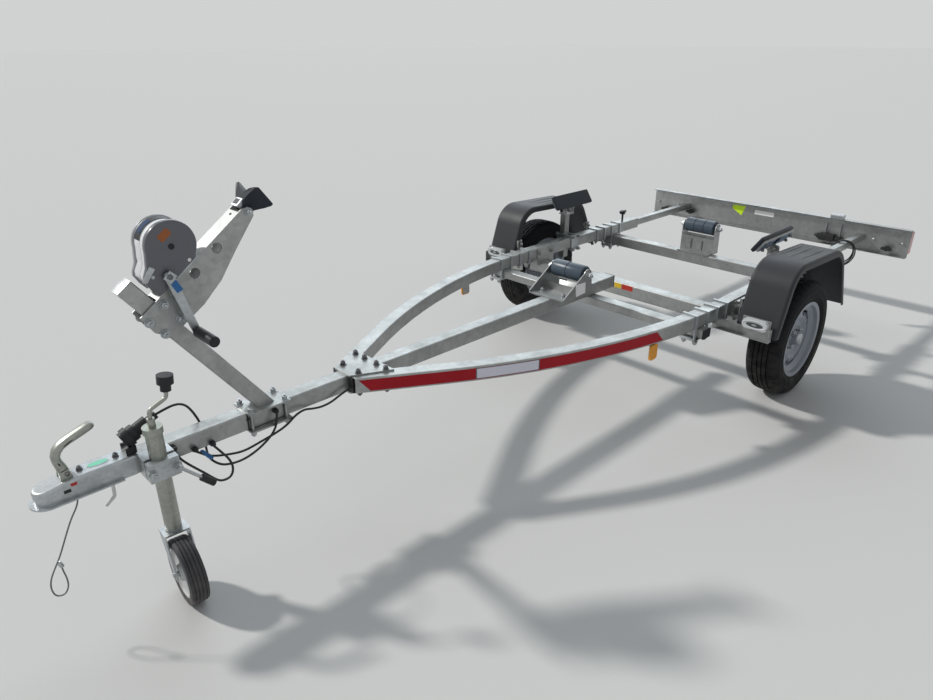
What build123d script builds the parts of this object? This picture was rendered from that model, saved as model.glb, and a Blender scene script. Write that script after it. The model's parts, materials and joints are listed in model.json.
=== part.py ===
from build123d import *
import math
import os

os.makedirs("parts", exist_ok=True)

# Sizes are in mm. X is forward, Y to the left side, Z up, and X starts under the road axle.
# The floor is at floor_z. Everything is moved by frame_x and -floor_z when it is written.

# Overall
nose_x = 2976.0
tail_x = -1464.0
frame_x = -(nose_x + tail_x) / 2
floor_z = 20.0

# Road wheels and tyres
track = 1556.0
wheel_y = track / 2
tyre_r = 277.0
tyre_w = 155.0
wheel_z = floor_z + tyre_r
rim_r = 165.1
rim_flange_r = 181.0
rim_w = 127.0
disc_y = 24.0
hub_r = 31.0
hub_drum_r = 62.0
stud_r = 49.0

# Chassis tubes
tube = 60.0
tube_wall = 3.0
tube_round = 5.0
chassis_top = 500.0
chassis_mid = chassis_top - tube / 2
chassis_low = chassis_top - tube

# Drawbar
bar_front = 2846.0
bar_rear = 360.0

# Side rails: a straight run, an arc and a straight front run
rail_y = 585.0
rail_rear = -740.0
rail_bend_x = 318.3
rail_bend_r = 2600.0
rail_angle = 31.0
rail_nose_y = 50.0
rail_turn = math.radians(rail_angle)
rail_bend_end = rail_bend_x + rail_bend_r * math.sin(rail_turn)
rail_bend_drop = rail_bend_r * (1 - math.cos(rail_turn))
rail_lead = (rail_y - rail_bend_drop - rail_nose_y) / math.sin(rail_turn)
rail_nose_x = rail_bend_end + rail_lead * math.cos(rail_turn)
rail_cut_x = rail_nose_x + 28

# Gusset plates over and under the rail fronts
gusset_t = 6.0
gusset_rear_x = rail_nose_x - 112
gusset_front_x = rail_nose_x + 36
gusset_rear_half = 112.0
gusset_front_half = 42.0

# Cross tubes and axle
front_cross_x = 530.0
front_cross_h = 40.0
front_cross_half = 632.0
rear_cross_x = -490.0
rear_cross_half = 652.0
cap_t = 6.0
beam_x = 195.0
beam_size = 70.0
beam_top = 420.0
beam_half = 636.0
arm_in_y = 641.0
arm_out_y = 672.0
arm_r_beam = 48.0
arm_r_hub = 34.0

# Mudguards
guard_in = 672.0
guard_out = 860.0
guard_skin = 4.0
guard_lip = 30.0
guard_front_low = (350.3, 400.0)
guard_front_bend = (247.0, 701.0)
guard_rear_bend = (-281.0, 681.0)
guard_rear_low = (-445.0, 360.0)
guard_front_r = 134.0
guard_rear_r = 149.0
guard_edge_r = 13.0

# Keel rollers and their brackets
roller_r = 40.0
roller_half = 88.0
roller_bore = 8.2
roller_pin_r = 8.0
cheek_y = 97.0
cheek_t = 5.0
front_roller_x = 678.0
front_roller_z = 592.0
front_bracket_front = 848.0
front_bracket_rear = 636.0
rear_roller_x = -530.0
rear_roller_z = 585.0
rear_bracket_front = -500.0
rear_bracket_rear = -564.0

# Side pads on their posts
post_x = -72.0
post_y = 635.0
post_size = 40.0
post_low = 369.0
post_top = 630.0
pad_length = 318.0
pad_width = 82.0
pad_thick = 18.0
pad_back = 12.0
pad_tilt = 56.0
pad_pivot_y = 613.0
pad_pivot_z = 667.0
pad_pivot_back = 50.0
pad_pivot_up = 11.0
pad_x = -81.0
pad_pin_r = 6.0

# Winch post, head and bow stop
wpost_size = 50.0
wpost_foot_x = 2278.0
wpost_angle = 36.07
wpost_length = 596.0
wfoot_length = 150.0
wfoot_width = 104.0
head_x = 2578.8
head_z = 919.2
head_angle = 143.73
head_y = 26.0
head_t = 5.0
winch_y = 34.0
drum_u = 162.0
drum_v = 84.0
drum_cover_r = 71.0
crank_u = 96.0
crank_v = 38.0
crank_y = 62.0
crank_length = 181.0
crank_hang = 254.0
stop_thick = 66.0
stop_half = 58.0

# Jack beside the drawbar
jack_x = 2651.0
jack_y = 77.0
jack_tube_r = 24.0
jack_fit = 0.3
jack_low = 252.0
jack_top = 590.0
jack_wheel_r = 105.0
jack_wheel_z = floor_z + jack_wheel_r
jack_wheel_w = 56.0
jack_trail = 60.0
castor_angle = 86.0

# Coupling head
coupling_rear = 2702.0
ball_x = 2928.0
ball_z = 466.0
ball_r = 25.1
ball_mouth = 444.0
coupling_half = 35.0
coupling_high = 504.0

# Light board and its arms
arm_size = 40.0
arm_z = chassis_mid
arm_front = -180.0
board_x = -1417.0
board_t = 3.0
board_depth = 35.0
board_half = 850.0
board_low = 390.0
board_top = 556.0
lamp_depth = tail_x - (board_x - board_t)
lamp_width = 215.0
lamp_low = 405.0
lamp_high = 540.0


def group(shapes):
    solids = []
    for shape in shapes:
        solids.extend(shape.solids())
    return Compound(solids)


def save(name, shape):
    moved = [Pos(frame_x, 0, -floor_z) * solid for solid in shape.solids()]
    export_step(moved[0] if len(moved) == 1 else Compound(moved), "parts/" + name + ".step")


def both_sides(shape):
    return group([shape, mirror(shape, about=Plane.XZ)])


def block(x0, x1, y0, y1, z0, z1):
    return Pos((x0 + x1) / 2, (y0 + y1) / 2, (z0 + z1) / 2) * Box(x1 - x0, y1 - y0, z1 - z0)


def rod(start, end, radius):
    a = Vector(*start)
    b = Vector(*end)
    return Plane(a, z_dir=b - a) * extrude(Circle(radius), (b - a).length)


def ring_face(width, height, wall, corner):
    inner = max(corner - wall, 1.0)
    outer_face = RectangleRounded(width, height, corner)
    return outer_face - RectangleRounded(width - 2 * wall, height - 2 * wall, inner)


def tube_x(x0, x1, y, z, width, height, wall, corner):
    plane = Plane((x0, y, z), x_dir=(0, 1, 0), z_dir=(1, 0, 0))
    return plane * extrude(ring_face(width, height, wall, corner), x1 - x0)


def tube_y(x, y0, y1, z, width, height, wall, corner):
    plane = Plane((x, y0, z), x_dir=(1, 0, 0), z_dir=(0, 1, 0))
    return plane * extrude(ring_face(width, height, wall, corner), y1 - y0)


def plate_xz(points, y0, y1):
    return Plane((0, y0, 0), x_dir=(1, 0, 0), z_dir=(0, 1, 0)) * extrude(
        make_face(Polyline(*[(x, -z) for x, z in points], close=True)), y1 - y0)


def bend_radii(points, most):
    runs = [math.dist(a, b) for a, b in zip(points, points[1:])]
    radii = []
    for k in range(1, len(points) - 1):
        u = [(b - a) / runs[k - 1] for a, b in zip(points[k - 1], points[k])]
        v = [(b - a) / runs[k] for a, b in zip(points[k], points[k + 1])]
        turn = math.acos(max(-1.0, min(1.0, sum(p * q for p, q in zip(u, v)))))
        fit = 0.45 * min(runs[k - 1], runs[k]) / math.tan(max(turn, 0.02) / 2)
        radii.append(min(fit, most))
    return radii


def cord(name, points, radius, most=400.0):
    radii = bend_radii(points, most)
    print(name, "bend radii", [round(r) for r in radii])
    path = FilletPolyline(*points, radius=radii)
    start = Vector(*points[0])
    section = Plane(start, z_dir=Vector(*points[1]) - start) * Circle(radius)
    return sweep(section, path=path)


# Drawbar
drawbar = tube_x(bar_rear, bar_front, 0, chassis_mid, tube, tube, tube_wall, tube_round)
save("drawbar", drawbar)


# Side rails
def rail_path():
    a = rail_turn
    bend_front = (rail_bend_end, rail_y - rail_bend_drop)
    bend_rear = (rail_bend_x, rail_y)
    tip = (bend_front[0] + (rail_lead + 90) * math.cos(a), bend_front[1] - (rail_lead + 90) * math.sin(a))
    lead = Line((*tip, chassis_mid), (*bend_front, chassis_mid))
    half = a / 2
    centre = (bend_rear[0], rail_y - rail_bend_r)
    middle = (centre[0] + rail_bend_r * math.sin(half), centre[1] + rail_bend_r * math.cos(half))
    bend = ThreePointArc((*bend_front, chassis_mid), (*middle, chassis_mid), (*bend_rear, chassis_mid))
    run = Line((*bend_rear, chassis_mid), (rail_rear, rail_y, chassis_mid))
    return Wire([lead, bend, run])


def rail_solid():
    path = rail_path()
    start = path @ 0
    plane = Plane(start, x_dir=Vector(0, 0, 1).cross(path % 0), z_dir=path % 0)
    outer = sweep(plane * RectangleRounded(tube, tube, tube_round), path=path)
    inner_size = tube - 2 * tube_wall
    inner = sweep(plane * RectangleRounded(inner_size, inner_size, tube_round - tube_wall), path=path)
    room = block(rail_rear - 10, rail_cut_x, tube / 2, rail_y + tube, chassis_low - 20, chassis_top + 20)
    return (outer - inner) & room


def rail_at(x):
    beyond = max(x - rail_bend_x, 0.0)
    drop = rail_bend_r - math.sqrt(rail_bend_r ** 2 - beyond ** 2)
    return (rail_y - drop, math.degrees(math.asin(beyond / rail_bend_r)))


rail_left = rail_solid()
save("rail_left", rail_left)
save("rail_right", mirror(rail_left, about=Plane.XZ))

# Gusset plates with six bolts
gusset_outline = [
    (gusset_rear_x, -gusset_rear_half),
    (gusset_front_x, -gusset_front_half),
    (gusset_front_x, gusset_front_half),
    (gusset_rear_x, gusset_rear_half),
]
gusset_face = make_face(Polyline(*gusset_outline, close=True))
gusset = extrude(gusset_face, gusset_t)
save("gusset_plates", group([Pos(0, 0, chassis_top) * gusset, Pos(0, 0, chassis_low - gusset_t) * gusset]))

# Cross tubes under the rails
front_cross = tube_y(front_cross_x, -front_cross_half, front_cross_half, chassis_low - front_cross_h / 2, tube,
                     front_cross_h, tube_wall, tube_round)
rear_cross = tube_y(rear_cross_x, -rear_cross_half, rear_cross_half, chassis_low - tube / 2, tube, tube, tube_wall,
                    tube_round)
save("cross_tubes", group([front_cross, rear_cross]))

# Black plastic end caps
caps = []
for x, height, half in ((front_cross_x, front_cross_h, front_cross_half), (rear_cross_x, tube, rear_cross_half)):
    z = chassis_low - height / 2
    caps.append(block(x - tube / 2, x + tube / 2, half, half + cap_t, z - height / 2, z + height / 2))
bar_cap = block(bar_rear - cap_t, bar_rear, -tube / 2, tube / 2, chassis_low, chassis_top)
rail_cap = block(rail_cut_x, rail_cut_x + 5, tube / 2, 58, chassis_low, chassis_top)
caps.append(rail_cap)
save("end_caps", group([*[both_sides(c) for c in caps], bar_cap]))

# Straps that clamp the cross tubes to the rails
strap_rows = [
    ("front cross tube", front_cross_x - 42, front_cross_h),
    ("front cross tube", front_cross_x + 42, front_cross_h),
    ("lamp and front guard arm", 330.0, 5.0),
    ("lamp and front guard arm", 410.0, 5.0),
    ("rear guard arm", -298.0, 5.0),
    ("rear guard arm", -372.0, 5.0),
    ("rear cross tube", rear_cross_x - 42, tube),
    ("rear cross tube", rear_cross_x + 42, tube),
]
strap_w = 12.0
strap_t = 6.0
straps = []
for place, x, depth in strap_rows:
    y, turn = rail_at(x)
    low = -tube - depth - strap_t
    outer = block(-strap_w / 2, strap_w / 2, -36.5, 36.5, low, strap_t)
    inner = block(-strap_w, strap_w, -30.1, 30.1, -tube - depth, 0)
    straps.append(Pos(x, y, chassis_top) * Rot(0, 0, -turn) * (outer - inner))
for x, depth in ((front_cross_x, front_cross_h), (rear_cross_x, tube)):
    y, turn = rail_at(x)
    low = chassis_low - depth - strap_t
    straps.append(block(x - 50, x + 50, y - 36, y + 36, low - 5, low))

# Axle beam and its brackets
beam_z = beam_top - beam_size / 2
beam = tube_y(beam_x, -beam_half, beam_half, beam_z, beam_size, beam_size, 5.0, 8.0)
save("axle_beam", beam)
bracket_rows = [("inner plate", rail_y - 36), ("outer plate", rail_y + 30)]
brackets = [block(beam_x - 70, beam_x + 70, y, y + 6, beam_top - 20, chassis_top - 6) for place, y in bracket_rows]
brackets.append(block(beam_x - 70, beam_x + 70, rail_y - 30, rail_y + 30, beam_top, beam_top + 8))
brackets.append(block(beam_x - 70, beam_x - 62, rail_y - 30, rail_y + 30, beam_top + 8, chassis_low))
brackets.append(block(beam_x + 62, beam_x + 70, rail_y - 30, rail_y + 30, beam_top + 8, chassis_low))
bracket = brackets[0]
for piece in brackets[1:]:
    bracket = bracket + piece
bracket = bracket - block(beam_x - 35, beam_x + 35, rail_y - 60, rail_y + 60, beam_top - 40, beam_top)
save("axle_brackets", both_sides(bracket))


# Trailing arms with the stub axles
def swing_arm():
    a = Plane((beam_x, arm_in_y, beam_z), x_dir=(1, 0, 0), z_dir=(0, 1, 0))
    length = math.hypot(beam_x, beam_z - wheel_z)
    tilt = math.degrees(math.atan2(beam_z - wheel_z, -beam_x))
    plate = make_hull([*Circle(arm_r_beam).edges(), *(Pos(-length, 0) * Circle(arm_r_hub)).edges()])
    web = a * Rot(0, 0, -(180 - tilt)) * extrude(plate, arm_out_y - arm_in_y)
    socket = rod((beam_x, beam_half, beam_z), (beam_x, arm_in_y + 2, beam_z), 30)
    stub = rod((0, arm_out_y - 2, wheel_z), (0, wheel_y + disc_y + 22, wheel_z), 14)
    collar = rod((0, arm_out_y - 2, wheel_z), (0, arm_out_y + 6, wheel_z), 24)
    return web + socket + stub + collar


arm_left = swing_arm()
save("swing_arms", both_sides(arm_left))


# Road wheels, turned about the Y axis
def lathe_y(points, y0):
    outline = make_face(Polyline(*points, close=True))
    profile = Plane((0, y0, wheel_z), x_dir=(1, 0, 0), z_dir=(0, 0, 1)) * outline
    return revolve(profile, Axis((0, y0, wheel_z), (0, 1, 0)), 360)


def road_wheel(side):
    half = rim_w / 2
    rim = [
        (rim_flange_r, half + 6), (rim_flange_r, half + 2), (rim_r + 3, half), (rim_r, half - 12), (rim_r - 22, half - 26),
        (rim_r - 22, -half + 34), (rim_r, -half + 14), (rim_r + 3, -half), (rim_flange_r, -half - 2),
        (rim_flange_r, -half - 6), (rim_r - 1, -half - 3), (rim_r - 5, -half + 14), (rim_r - 27, -half + 32),
        (rim_r - 27, half - 28), (rim_r - 5, half - 13), (rim_r - 1, half + 3),
    ]
    disc = [
        (34, disc_y), (34, disc_y + 5), (82, disc_y + 5), (100, disc_y + 18), (118, disc_y + 14), (132, disc_y - 2),
        (rim_r - 25, disc_y - 14), (rim_r - 25, disc_y - 22), (128, disc_y - 10), (114, disc_y + 8),
        (101, disc_y + 12), (84, disc_y),
    ]
    hub = [
        (14.3, -98), (hub_drum_r, -98), (hub_drum_r, -80), (46, -74), (46, disc_y - 10), (70, disc_y - 10),
        (70, disc_y - 0.0), (33.5, disc_y), (33.5, disc_y + 5), (hub_r, disc_y + 6), (hub_r, disc_y + 28),
        (hub_r - 8, disc_y + 34), (0, disc_y + 35), (0, disc_y + 26), (14.3, disc_y + 26),
    ]
    body = lathe_y([(r, y * side) for r, y in rim], wheel_y * side)
    body = body + lathe_y([(r, y * side) for r, y in disc], wheel_y * side)
    body = body + lathe_y([(r, y * side) for r, y in hub], wheel_y * side)
    for k in range(4):
        a = math.radians(45 + 90 * k)
        x = stud_r * math.cos(a)
        z = wheel_z + stud_r * math.sin(a)
        inner = (x, (wheel_y + disc_y + 3) * side, z)
        outer = (x, (wheel_y + disc_y + 22) * side, z)
        body = body + rod(inner, outer, 9.5)
    for k in range(8):
        a = math.radians(22.5 + 45 * k)
        x = 119 * math.cos(a)
        z = wheel_z + 119 * math.sin(a)
        hole = rod((x, (wheel_y + disc_y - 40) * side, z), (x, (wheel_y + disc_y + 40) * side, z), 13)
        body = body - hole
    return body


def road_tyre(side):
    half = tyre_w / 2
    tyre = [
        (rim_r + 3.4, -62), (rim_flange_r + 0.5, -62), (rim_flange_r + 4, -69), (212, -half), (240, -half + 1),
        (262, -half + 9), (272, -half + 20), (tyre_r, -half + 34), (tyre_r, half - 34), (272, half - 20),
        (262, half - 9), (240, half - 1), (212, half), (rim_flange_r + 4, 69), (rim_flange_r + 0.5, 62),
        (rim_r + 3.4, 62), (rim_r + 4, 50), (rim_r + 14, 47), (226, half - 14), (252, half - 22), (262, half - 42),
        (262, -half + 42), (252, -half + 22), (226, -half + 14), (rim_r + 14, -47), (rim_r + 4, -50),
    ]
    return lathe_y([(r, y) for r, y in tyre], wheel_y * side)


for side, name in ((1, "left"), (-1, "right")):
    save("wheel_" + name, road_wheel(side))
    save("tyre_" + name, road_tyre(side))


# Mudguards: a bent sheet with side walls
def guard_profile(inset, drop):
    fa = math.atan2(guard_front_bend[1] - guard_front_low[1], guard_front_bend[0] - guard_front_low[0])
    ra = math.atan2(guard_rear_bend[1] - guard_rear_low[1], guard_rear_bend[0] - guard_rear_low[0])
    a = (guard_front_low[0] - drop * math.cos(fa), guard_front_low[1] - drop * math.sin(fa))
    d = (guard_rear_low[0] - drop * math.cos(ra), guard_rear_low[1] - drop * math.sin(ra))
    points = [a, guard_front_bend, guard_rear_bend, d]
    face = make_face(Polyline(*[(x, -z) for x, z in points], close=True))
    front = [v for v in face.vertices() if abs(v.X - guard_front_bend[0]) < 1 and abs(v.Y + guard_front_bend[1]) < 1]
    face = fillet(front, guard_front_r)
    rear = [v for v in face.vertices() if abs(v.X - guard_rear_bend[0]) < 1 and abs(v.Y + guard_rear_bend[1]) < 1]
    face = fillet(rear, guard_rear_r)
    if inset > 0:
        face = offset(face, amount=-inset, kind=Kind.INTERSECTION)
    return face


def guard_shell(inset, drop, edge_r):
    y0 = guard_in + inset
    y1 = guard_out - inset
    shape = Plane((0, y0, 0), x_dir=(1, 0, 0), z_dir=(0, 1, 0)) * extrude(guard_profile(inset, drop), y1 - y0)
    long_edges = [e for e in shape.edges() if min(abs(e.center().Y - y0), abs(e.center().Y - y1)) < 0.1]
    long_edges = [e for e in long_edges if e.center().Z > 440]
    return fillet(long_edges, edge_r)


def guard_solid():
    width = guard_out - guard_in
    body = guard_shell(0, 0, guard_edge_r)
    body = body - guard_shell(guard_skin, 60, guard_edge_r - guard_skin)
    wide = Plane((0, guard_in - 5, 0), x_dir=(1, 0, 0), z_dir=(0, 1, 0))
    body = body - wide * extrude(guard_profile(guard_lip, 90), width + 10)
    return body


guard_left = guard_solid()
save("mudguard_left", guard_left)
save("mudguard_right", mirror(guard_left, about=Plane.XZ))

# Mudguard brackets: flat arms from the rails to the inner wall of each guard
guard_arm_rows = [("front", 290.0, 530.0, 272.0, 424.0), ("rear", -335.0, 530.0, -386.0, -284.0)]
guard_arms = []
for place, x, z, plate_rear, plate_front in guard_arm_rows:
    plate = block(plate_rear, plate_front, rail_y - 28, rail_y + 26, chassis_low - 5, chassis_low)
    foot = block(x - 16, x + 16, rail_y, guard_in - 6, chassis_low - 5, chassis_low)
    riser = block(x - 16, x + 16, guard_in - 11, guard_in - 6, chassis_low - 5, z)
    guard_arms.append(plate + foot + riser + block(x - 16, x + 16, guard_in - 6, guard_in, z - 40, z))
save("mudguard_brackets", both_sides(group(guard_arms)))

# Front position lamps on folded brackets, and side reflectors under the rails
lamp_x = 362.0
lamp_y = 772.0
lamp_z = 457.0
lamp_half = 56.0
lamp_bar_in = rail_y - 10
lamp_bar_out = lamp_y + 68
lamp_bar_low = 392.0
lamp_bar = block(lamp_x - 3, lamp_x, lamp_bar_in, lamp_bar_out, lamp_bar_low, chassis_low - 5)
lamp_bar = lamp_bar + block(lamp_x, lamp_x + 22, lamp_bar_in, lamp_bar_out, lamp_bar_low, lamp_bar_low + 3)
lamp_bar = lamp_bar + block(lamp_x - 3, lamp_x + 22, lamp_bar_out, lamp_bar_out + 3, lamp_bar_low, lamp_z - 6)
lamp_plate = block(lamp_x - 3, lamp_x, lamp_y - 62, lamp_y + 62, chassis_low - 6, lamp_z + 26)
lens = block(lamp_x, lamp_x + 20, lamp_y - lamp_half, lamp_y + lamp_half, lamp_z - 22, lamp_z + 22)
lens = fillet(lens.edges().filter_by(Axis.X), 20)
save("front_lamps", both_sides(lens))
reflector_x = 822.0
reflector_y = 551.0
hanger = block(reflector_x - 22, reflector_x + 22, reflector_y - 26, reflector_y + 4, chassis_low - 3, chassis_low)
hanger = hanger + block(reflector_x - 22, reflector_x + 22, reflector_y + 1, reflector_y + 4, chassis_low - 66, chassis_low)
save("lamp_brackets", both_sides(group([lamp_bar + lamp_plate, hanger])))
disc = block(reflector_x - 26, reflector_x + 26, reflector_y + 4, reflector_y + 12, chassis_low - 72, chassis_low - 4)
save("side_reflectors", both_sides(fillet(disc.edges().filter_by(Axis.Y), 12)))


# Keel roller brackets
def cheek(front_low, rear_low, low_z, roller_x, roller_z, y, lead_z):
    lead = math.degrees(math.atan2(roller_z - lead_z, roller_x - front_low))
    a = math.radians(lead + 90)
    top_r = 28.0
    touch = (roller_x - top_r * math.cos(a - math.pi) , roller_z - top_r * math.sin(a - math.pi))
    points = [(front_low, low_z), (front_low, lead_z), touch, (roller_x, roller_z + top_r), (roller_x - top_r, roller_z),
              (rear_low, low_z)]
    flat = plate_xz([(front_low, low_z), (front_low, lead_z), (roller_x + 20, roller_z + 16),
                     (roller_x - 26, roller_z), (rear_low, low_z)], y, y + cheek_t)
    round_top = rod((roller_x, y, roller_z), (roller_x, y + cheek_t, roller_z), top_r)
    return flat + round_top


front_base = block(front_bracket_rear, front_bracket_front, -cheek_y, cheek_y, chassis_top, chassis_top + 6)
front_left = cheek(front_bracket_front, front_bracket_rear, chassis_top, front_roller_x, front_roller_z, cheek_y,
                   chassis_top + 12)
front_right = cheek(front_bracket_front, front_bracket_rear, chassis_top, front_roller_x, front_roller_z,
                    -cheek_y - cheek_t, chassis_top + 12)
front_web = block(742, 748, -cheek_y, cheek_y, chassis_top + 6, chassis_top + 40)
front_pin = rod((front_roller_x, -cheek_y - 16, front_roller_z), (front_roller_x, cheek_y + 16, front_roller_z),
                roller_pin_r)
save("front_roller_bracket", front_base + front_left + front_right + front_web + front_pin)

rear_base = block(rear_bracket_rear, rear_cross_x + 34, -cheek_y, cheek_y, chassis_low, chassis_low + 6)
rear_left = cheek(rear_bracket_front, rear_bracket_rear, chassis_low, rear_roller_x, rear_roller_z, cheek_y,
                  rear_roller_z)
rear_right = cheek(rear_bracket_front, rear_bracket_rear, chassis_low, rear_roller_x, rear_roller_z,
                   -cheek_y - cheek_t, rear_roller_z)
rear_web = block(rear_bracket_front - 4, rear_bracket_front, -cheek_y, cheek_y, chassis_low + 6, rear_roller_z - 52)
rear_pin = rod((rear_roller_x, -cheek_y - 16, rear_roller_z), (rear_roller_x, cheek_y + 16, rear_roller_z),
               roller_pin_r)
save("rear_roller_bracket", rear_base + rear_left + rear_right + rear_web + rear_pin)


def keel_roller(x, z):
    body = rod((x, -roller_half, z), (x, roller_half, z), roller_r)
    body = fillet(body.edges().filter_by(GeomType.CIRCLE), 6)
    for y in (-30.0, 30.0):
        groove = rod((x, y - 2, z), (x, y + 2, z), roller_r + 1) - rod((x, y - 3, z), (x, y + 3, z), roller_r - 2.5)
        body = body - groove
    return body - rod((x, -roller_half - 1, z), (x, roller_half + 1, z), roller_bore)


save("front_roller", keel_roller(front_roller_x, front_roller_z))
save("rear_roller", keel_roller(rear_roller_x, rear_roller_z))

# Posts of the side pads
post_plane = Plane((post_x, post_y, post_low), x_dir=(1, 0, 0), z_dir=(0, 0, 1))
post = post_plane * extrude(ring_face(post_size, post_size, 3.0, 4.0), post_top - post_low)
post_cap = block(post_x - 34, post_x + 34, pad_pivot_y - 16, post_y + 20, post_top, post_top + 5)
for x in (post_x - 34, post_x + 29):
    ear = block(x, x + 5, pad_pivot_y - 14, pad_pivot_y + 14, post_top + 5, pad_pivot_z)
    ear = ear + rod((x, pad_pivot_y, pad_pivot_z), (x + 5, pad_pivot_y, pad_pivot_z), 14)
    post_cap = post_cap + ear
post_pin = rod((post_x - 44, pad_pivot_y, pad_pivot_z), (post_x + 44, pad_pivot_y, pad_pivot_z), pad_pin_r)
post_face = post_y + post_size / 2
clamp_half = post_size / 2 + 14
clamp_in = block(post_x - clamp_half, post_x + clamp_half, rail_y - tube / 2 - 6, rail_y - tube / 2,
                 chassis_low - 14, chassis_top + 14)
clamp_out = block(post_x - clamp_half, post_x + clamp_half, post_face, post_face + 6, chassis_low - 14,
                  chassis_top + 14)
post_clamp = clamp_in + clamp_out
for x in (post_x - post_size / 2 - 6, post_x + post_size / 2 + 6):
    for z in (chassis_low - 8, chassis_top + 8):
        post_clamp = post_clamp + rod((x, rail_y - 44, z), (x, post_face + 13, z), 5)
save("pad_posts", both_sides(post + post_cap + post_pin))
straps.append(post_clamp)
save("rail_clamps", both_sides(group(straps)))


# Pads: written flat about the pivot, then tilted
def pad_place(shape):
    return Pos(0, pad_pivot_y, pad_pivot_z) * Rot(pad_tilt, 0, 0) * shape


def pad_block(x0, x1, u0, u1, h0, h1):
    return block(x0, x1, u0, u1, h0, h1)


pad_u0 = -pad_pivot_up
pad_u1 = pad_u0 + pad_width
face_h = pad_pivot_back
rubber = pad_block(pad_x - pad_length / 2, pad_x + pad_length / 2, pad_u0, pad_u1, face_h - pad_thick, face_h)
rubber = fillet(rubber.edges().filter_by(Axis.Z), 8)
back = pad_block(pad_x - pad_length / 2 + 12, pad_x + pad_length / 2 - 12, pad_u0 + 12, pad_u1 - 12,
                 face_h - pad_thick - pad_back, face_h - pad_thick)
hollow = pad_block(pad_x - pad_length / 2 + 16, pad_x + pad_length / 2 - 16, pad_u0 + 16, pad_u1 - 16,
                   face_h - pad_thick - pad_back, face_h - pad_thick - 4)
back = back - hollow
lug = pad_block(post_x - 23, post_x + 23, -14, 14, 0, face_h - pad_thick - 4)
lug = lug + rod((post_x - 23, 0, 0), (post_x + 23, 0, 0), 14)
lug = lug - pad_block(post_x - 17, post_x + 17, -15, 15, -15, face_h - pad_thick - pad_back)
lug = lug - rod((post_x - 30, 0, 0), (post_x + 30, 0, 0), pad_pin_r + 0.1)
frame_left = pad_place(back + lug)
rubber_left = pad_place(rubber)
save("pad_left", rubber_left)
save("pad_frame_left", frame_left)
save("pad_right", mirror(rubber_left, about=Plane.XZ))
save("pad_frame_right", mirror(frame_left, about=Plane.XZ))

# Plane of the winch head: u along the arm, v square to it
head = Plane((head_x, 0, head_z), x_dir=(math.cos(math.radians(head_angle)), 0, math.sin(math.radians(head_angle))),
             z_dir=(0, 1, 0))


def head_point(u, v):
    place = head.from_local_coords((u, v, 0))
    return (place.X, place.Z)


def head_plate(points, y0, y1):
    face = make_face(Polyline(*[(u, v) for u, v in points], close=True))
    return Pos(0, y0, 0) * (head * extrude(face, y1 - y0))


def head_disc(u, v, r, y0, y1):
    x, z = head_point(u, v)
    return rod((x, y0, z), (x, y1, z), r)


head_bolt_rows = [(33, -22), (-30, -28), (33, -86), (-26, -84)]

# Winch post
lean = math.radians(wpost_angle)
post_dir = (math.sin(lean), 0, math.cos(lean))
foot_z = chassis_top + gusset_t
wfoot = Plane((wpost_foot_x, 0, foot_z), x_dir=(math.cos(lean), 0, -math.sin(lean)), z_dir=post_dir)
wpost = wfoot * Pos(0, 0, -60) * extrude(ring_face(wpost_size, wpost_size, 3.0, 4.0), wpost_length + 60)
wpost = wpost & block(2000, 2800, -60, 60, foot_z, 1200)
foot_plate = block(wpost_foot_x - wfoot_length / 2, wpost_foot_x + wfoot_length / 2, -wfoot_width / 2, wfoot_width / 2,
                   chassis_top, foot_z)
under_plate = block(wpost_foot_x - wfoot_length / 2, wpost_foot_x + wfoot_length / 2, -wfoot_width / 2,
                    wfoot_width / 2, chassis_low - 6, chassis_low)
foot_bolts = []
foot_bolt_x = wfoot_length / 2 - 14
foot_bolt_y = wfoot_width / 2 - 15
for x in (wpost_foot_x - foot_bolt_x, wpost_foot_x + foot_bolt_x):
    for y in (-foot_bolt_y, foot_bolt_y):
        foot_bolts.append(rod((x, y, chassis_low - 16), (x, y, foot_z + 10), 5))
winch_post = wpost + foot_plate
for u, v in head_bolt_rows:
    x, z = head_point(u, v)
    winch_post = winch_post - rod((x, -60, z), (x, 60, z), 6.4)
for bolt in foot_bolts:
    winch_post = winch_post + bolt
save("winch_post", winch_post + under_plate)

# Head plates and the arm
arm_outline = [(-36, 0), (378, 0), (396, -8), (402, -24), (392, -40), (284, -71), (192, -101), (107, -112),
               (-20, -106), (-42, -60)]
arm_holes = [("lower", 154, -27, 15.5), ("upper", 248, -24, 15.5), ("tip", 388, -20, 6.2)]
side_plate = head_plate(arm_outline, head_y, head_y + head_t)
for place, u, v, r in arm_holes:
    side_plate = side_plate - head_disc(u, v, r, head_y - 5, head_y + head_t + 5)
far_plate = mirror(side_plate, about=Plane.XZ)
top_web = head_plate([(30, -5), (30, 0), (366, 0), (366, -5)], -head_y, head_y)
head_bolts = []
for u, v in head_bolt_rows:
    head_bolts.append(head_disc(u, v, 6, -head_y - head_t - 8, head_y + head_t + 8))
winch_head = side_plate + far_plate + top_web
for bolt in head_bolts:
    winch_head = winch_head + bolt
winch_head = winch_head + head_disc(388, -20, 6, -head_y - head_t - 9, head_y + head_t + 9)
save("winch_head", winch_head)

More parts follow.
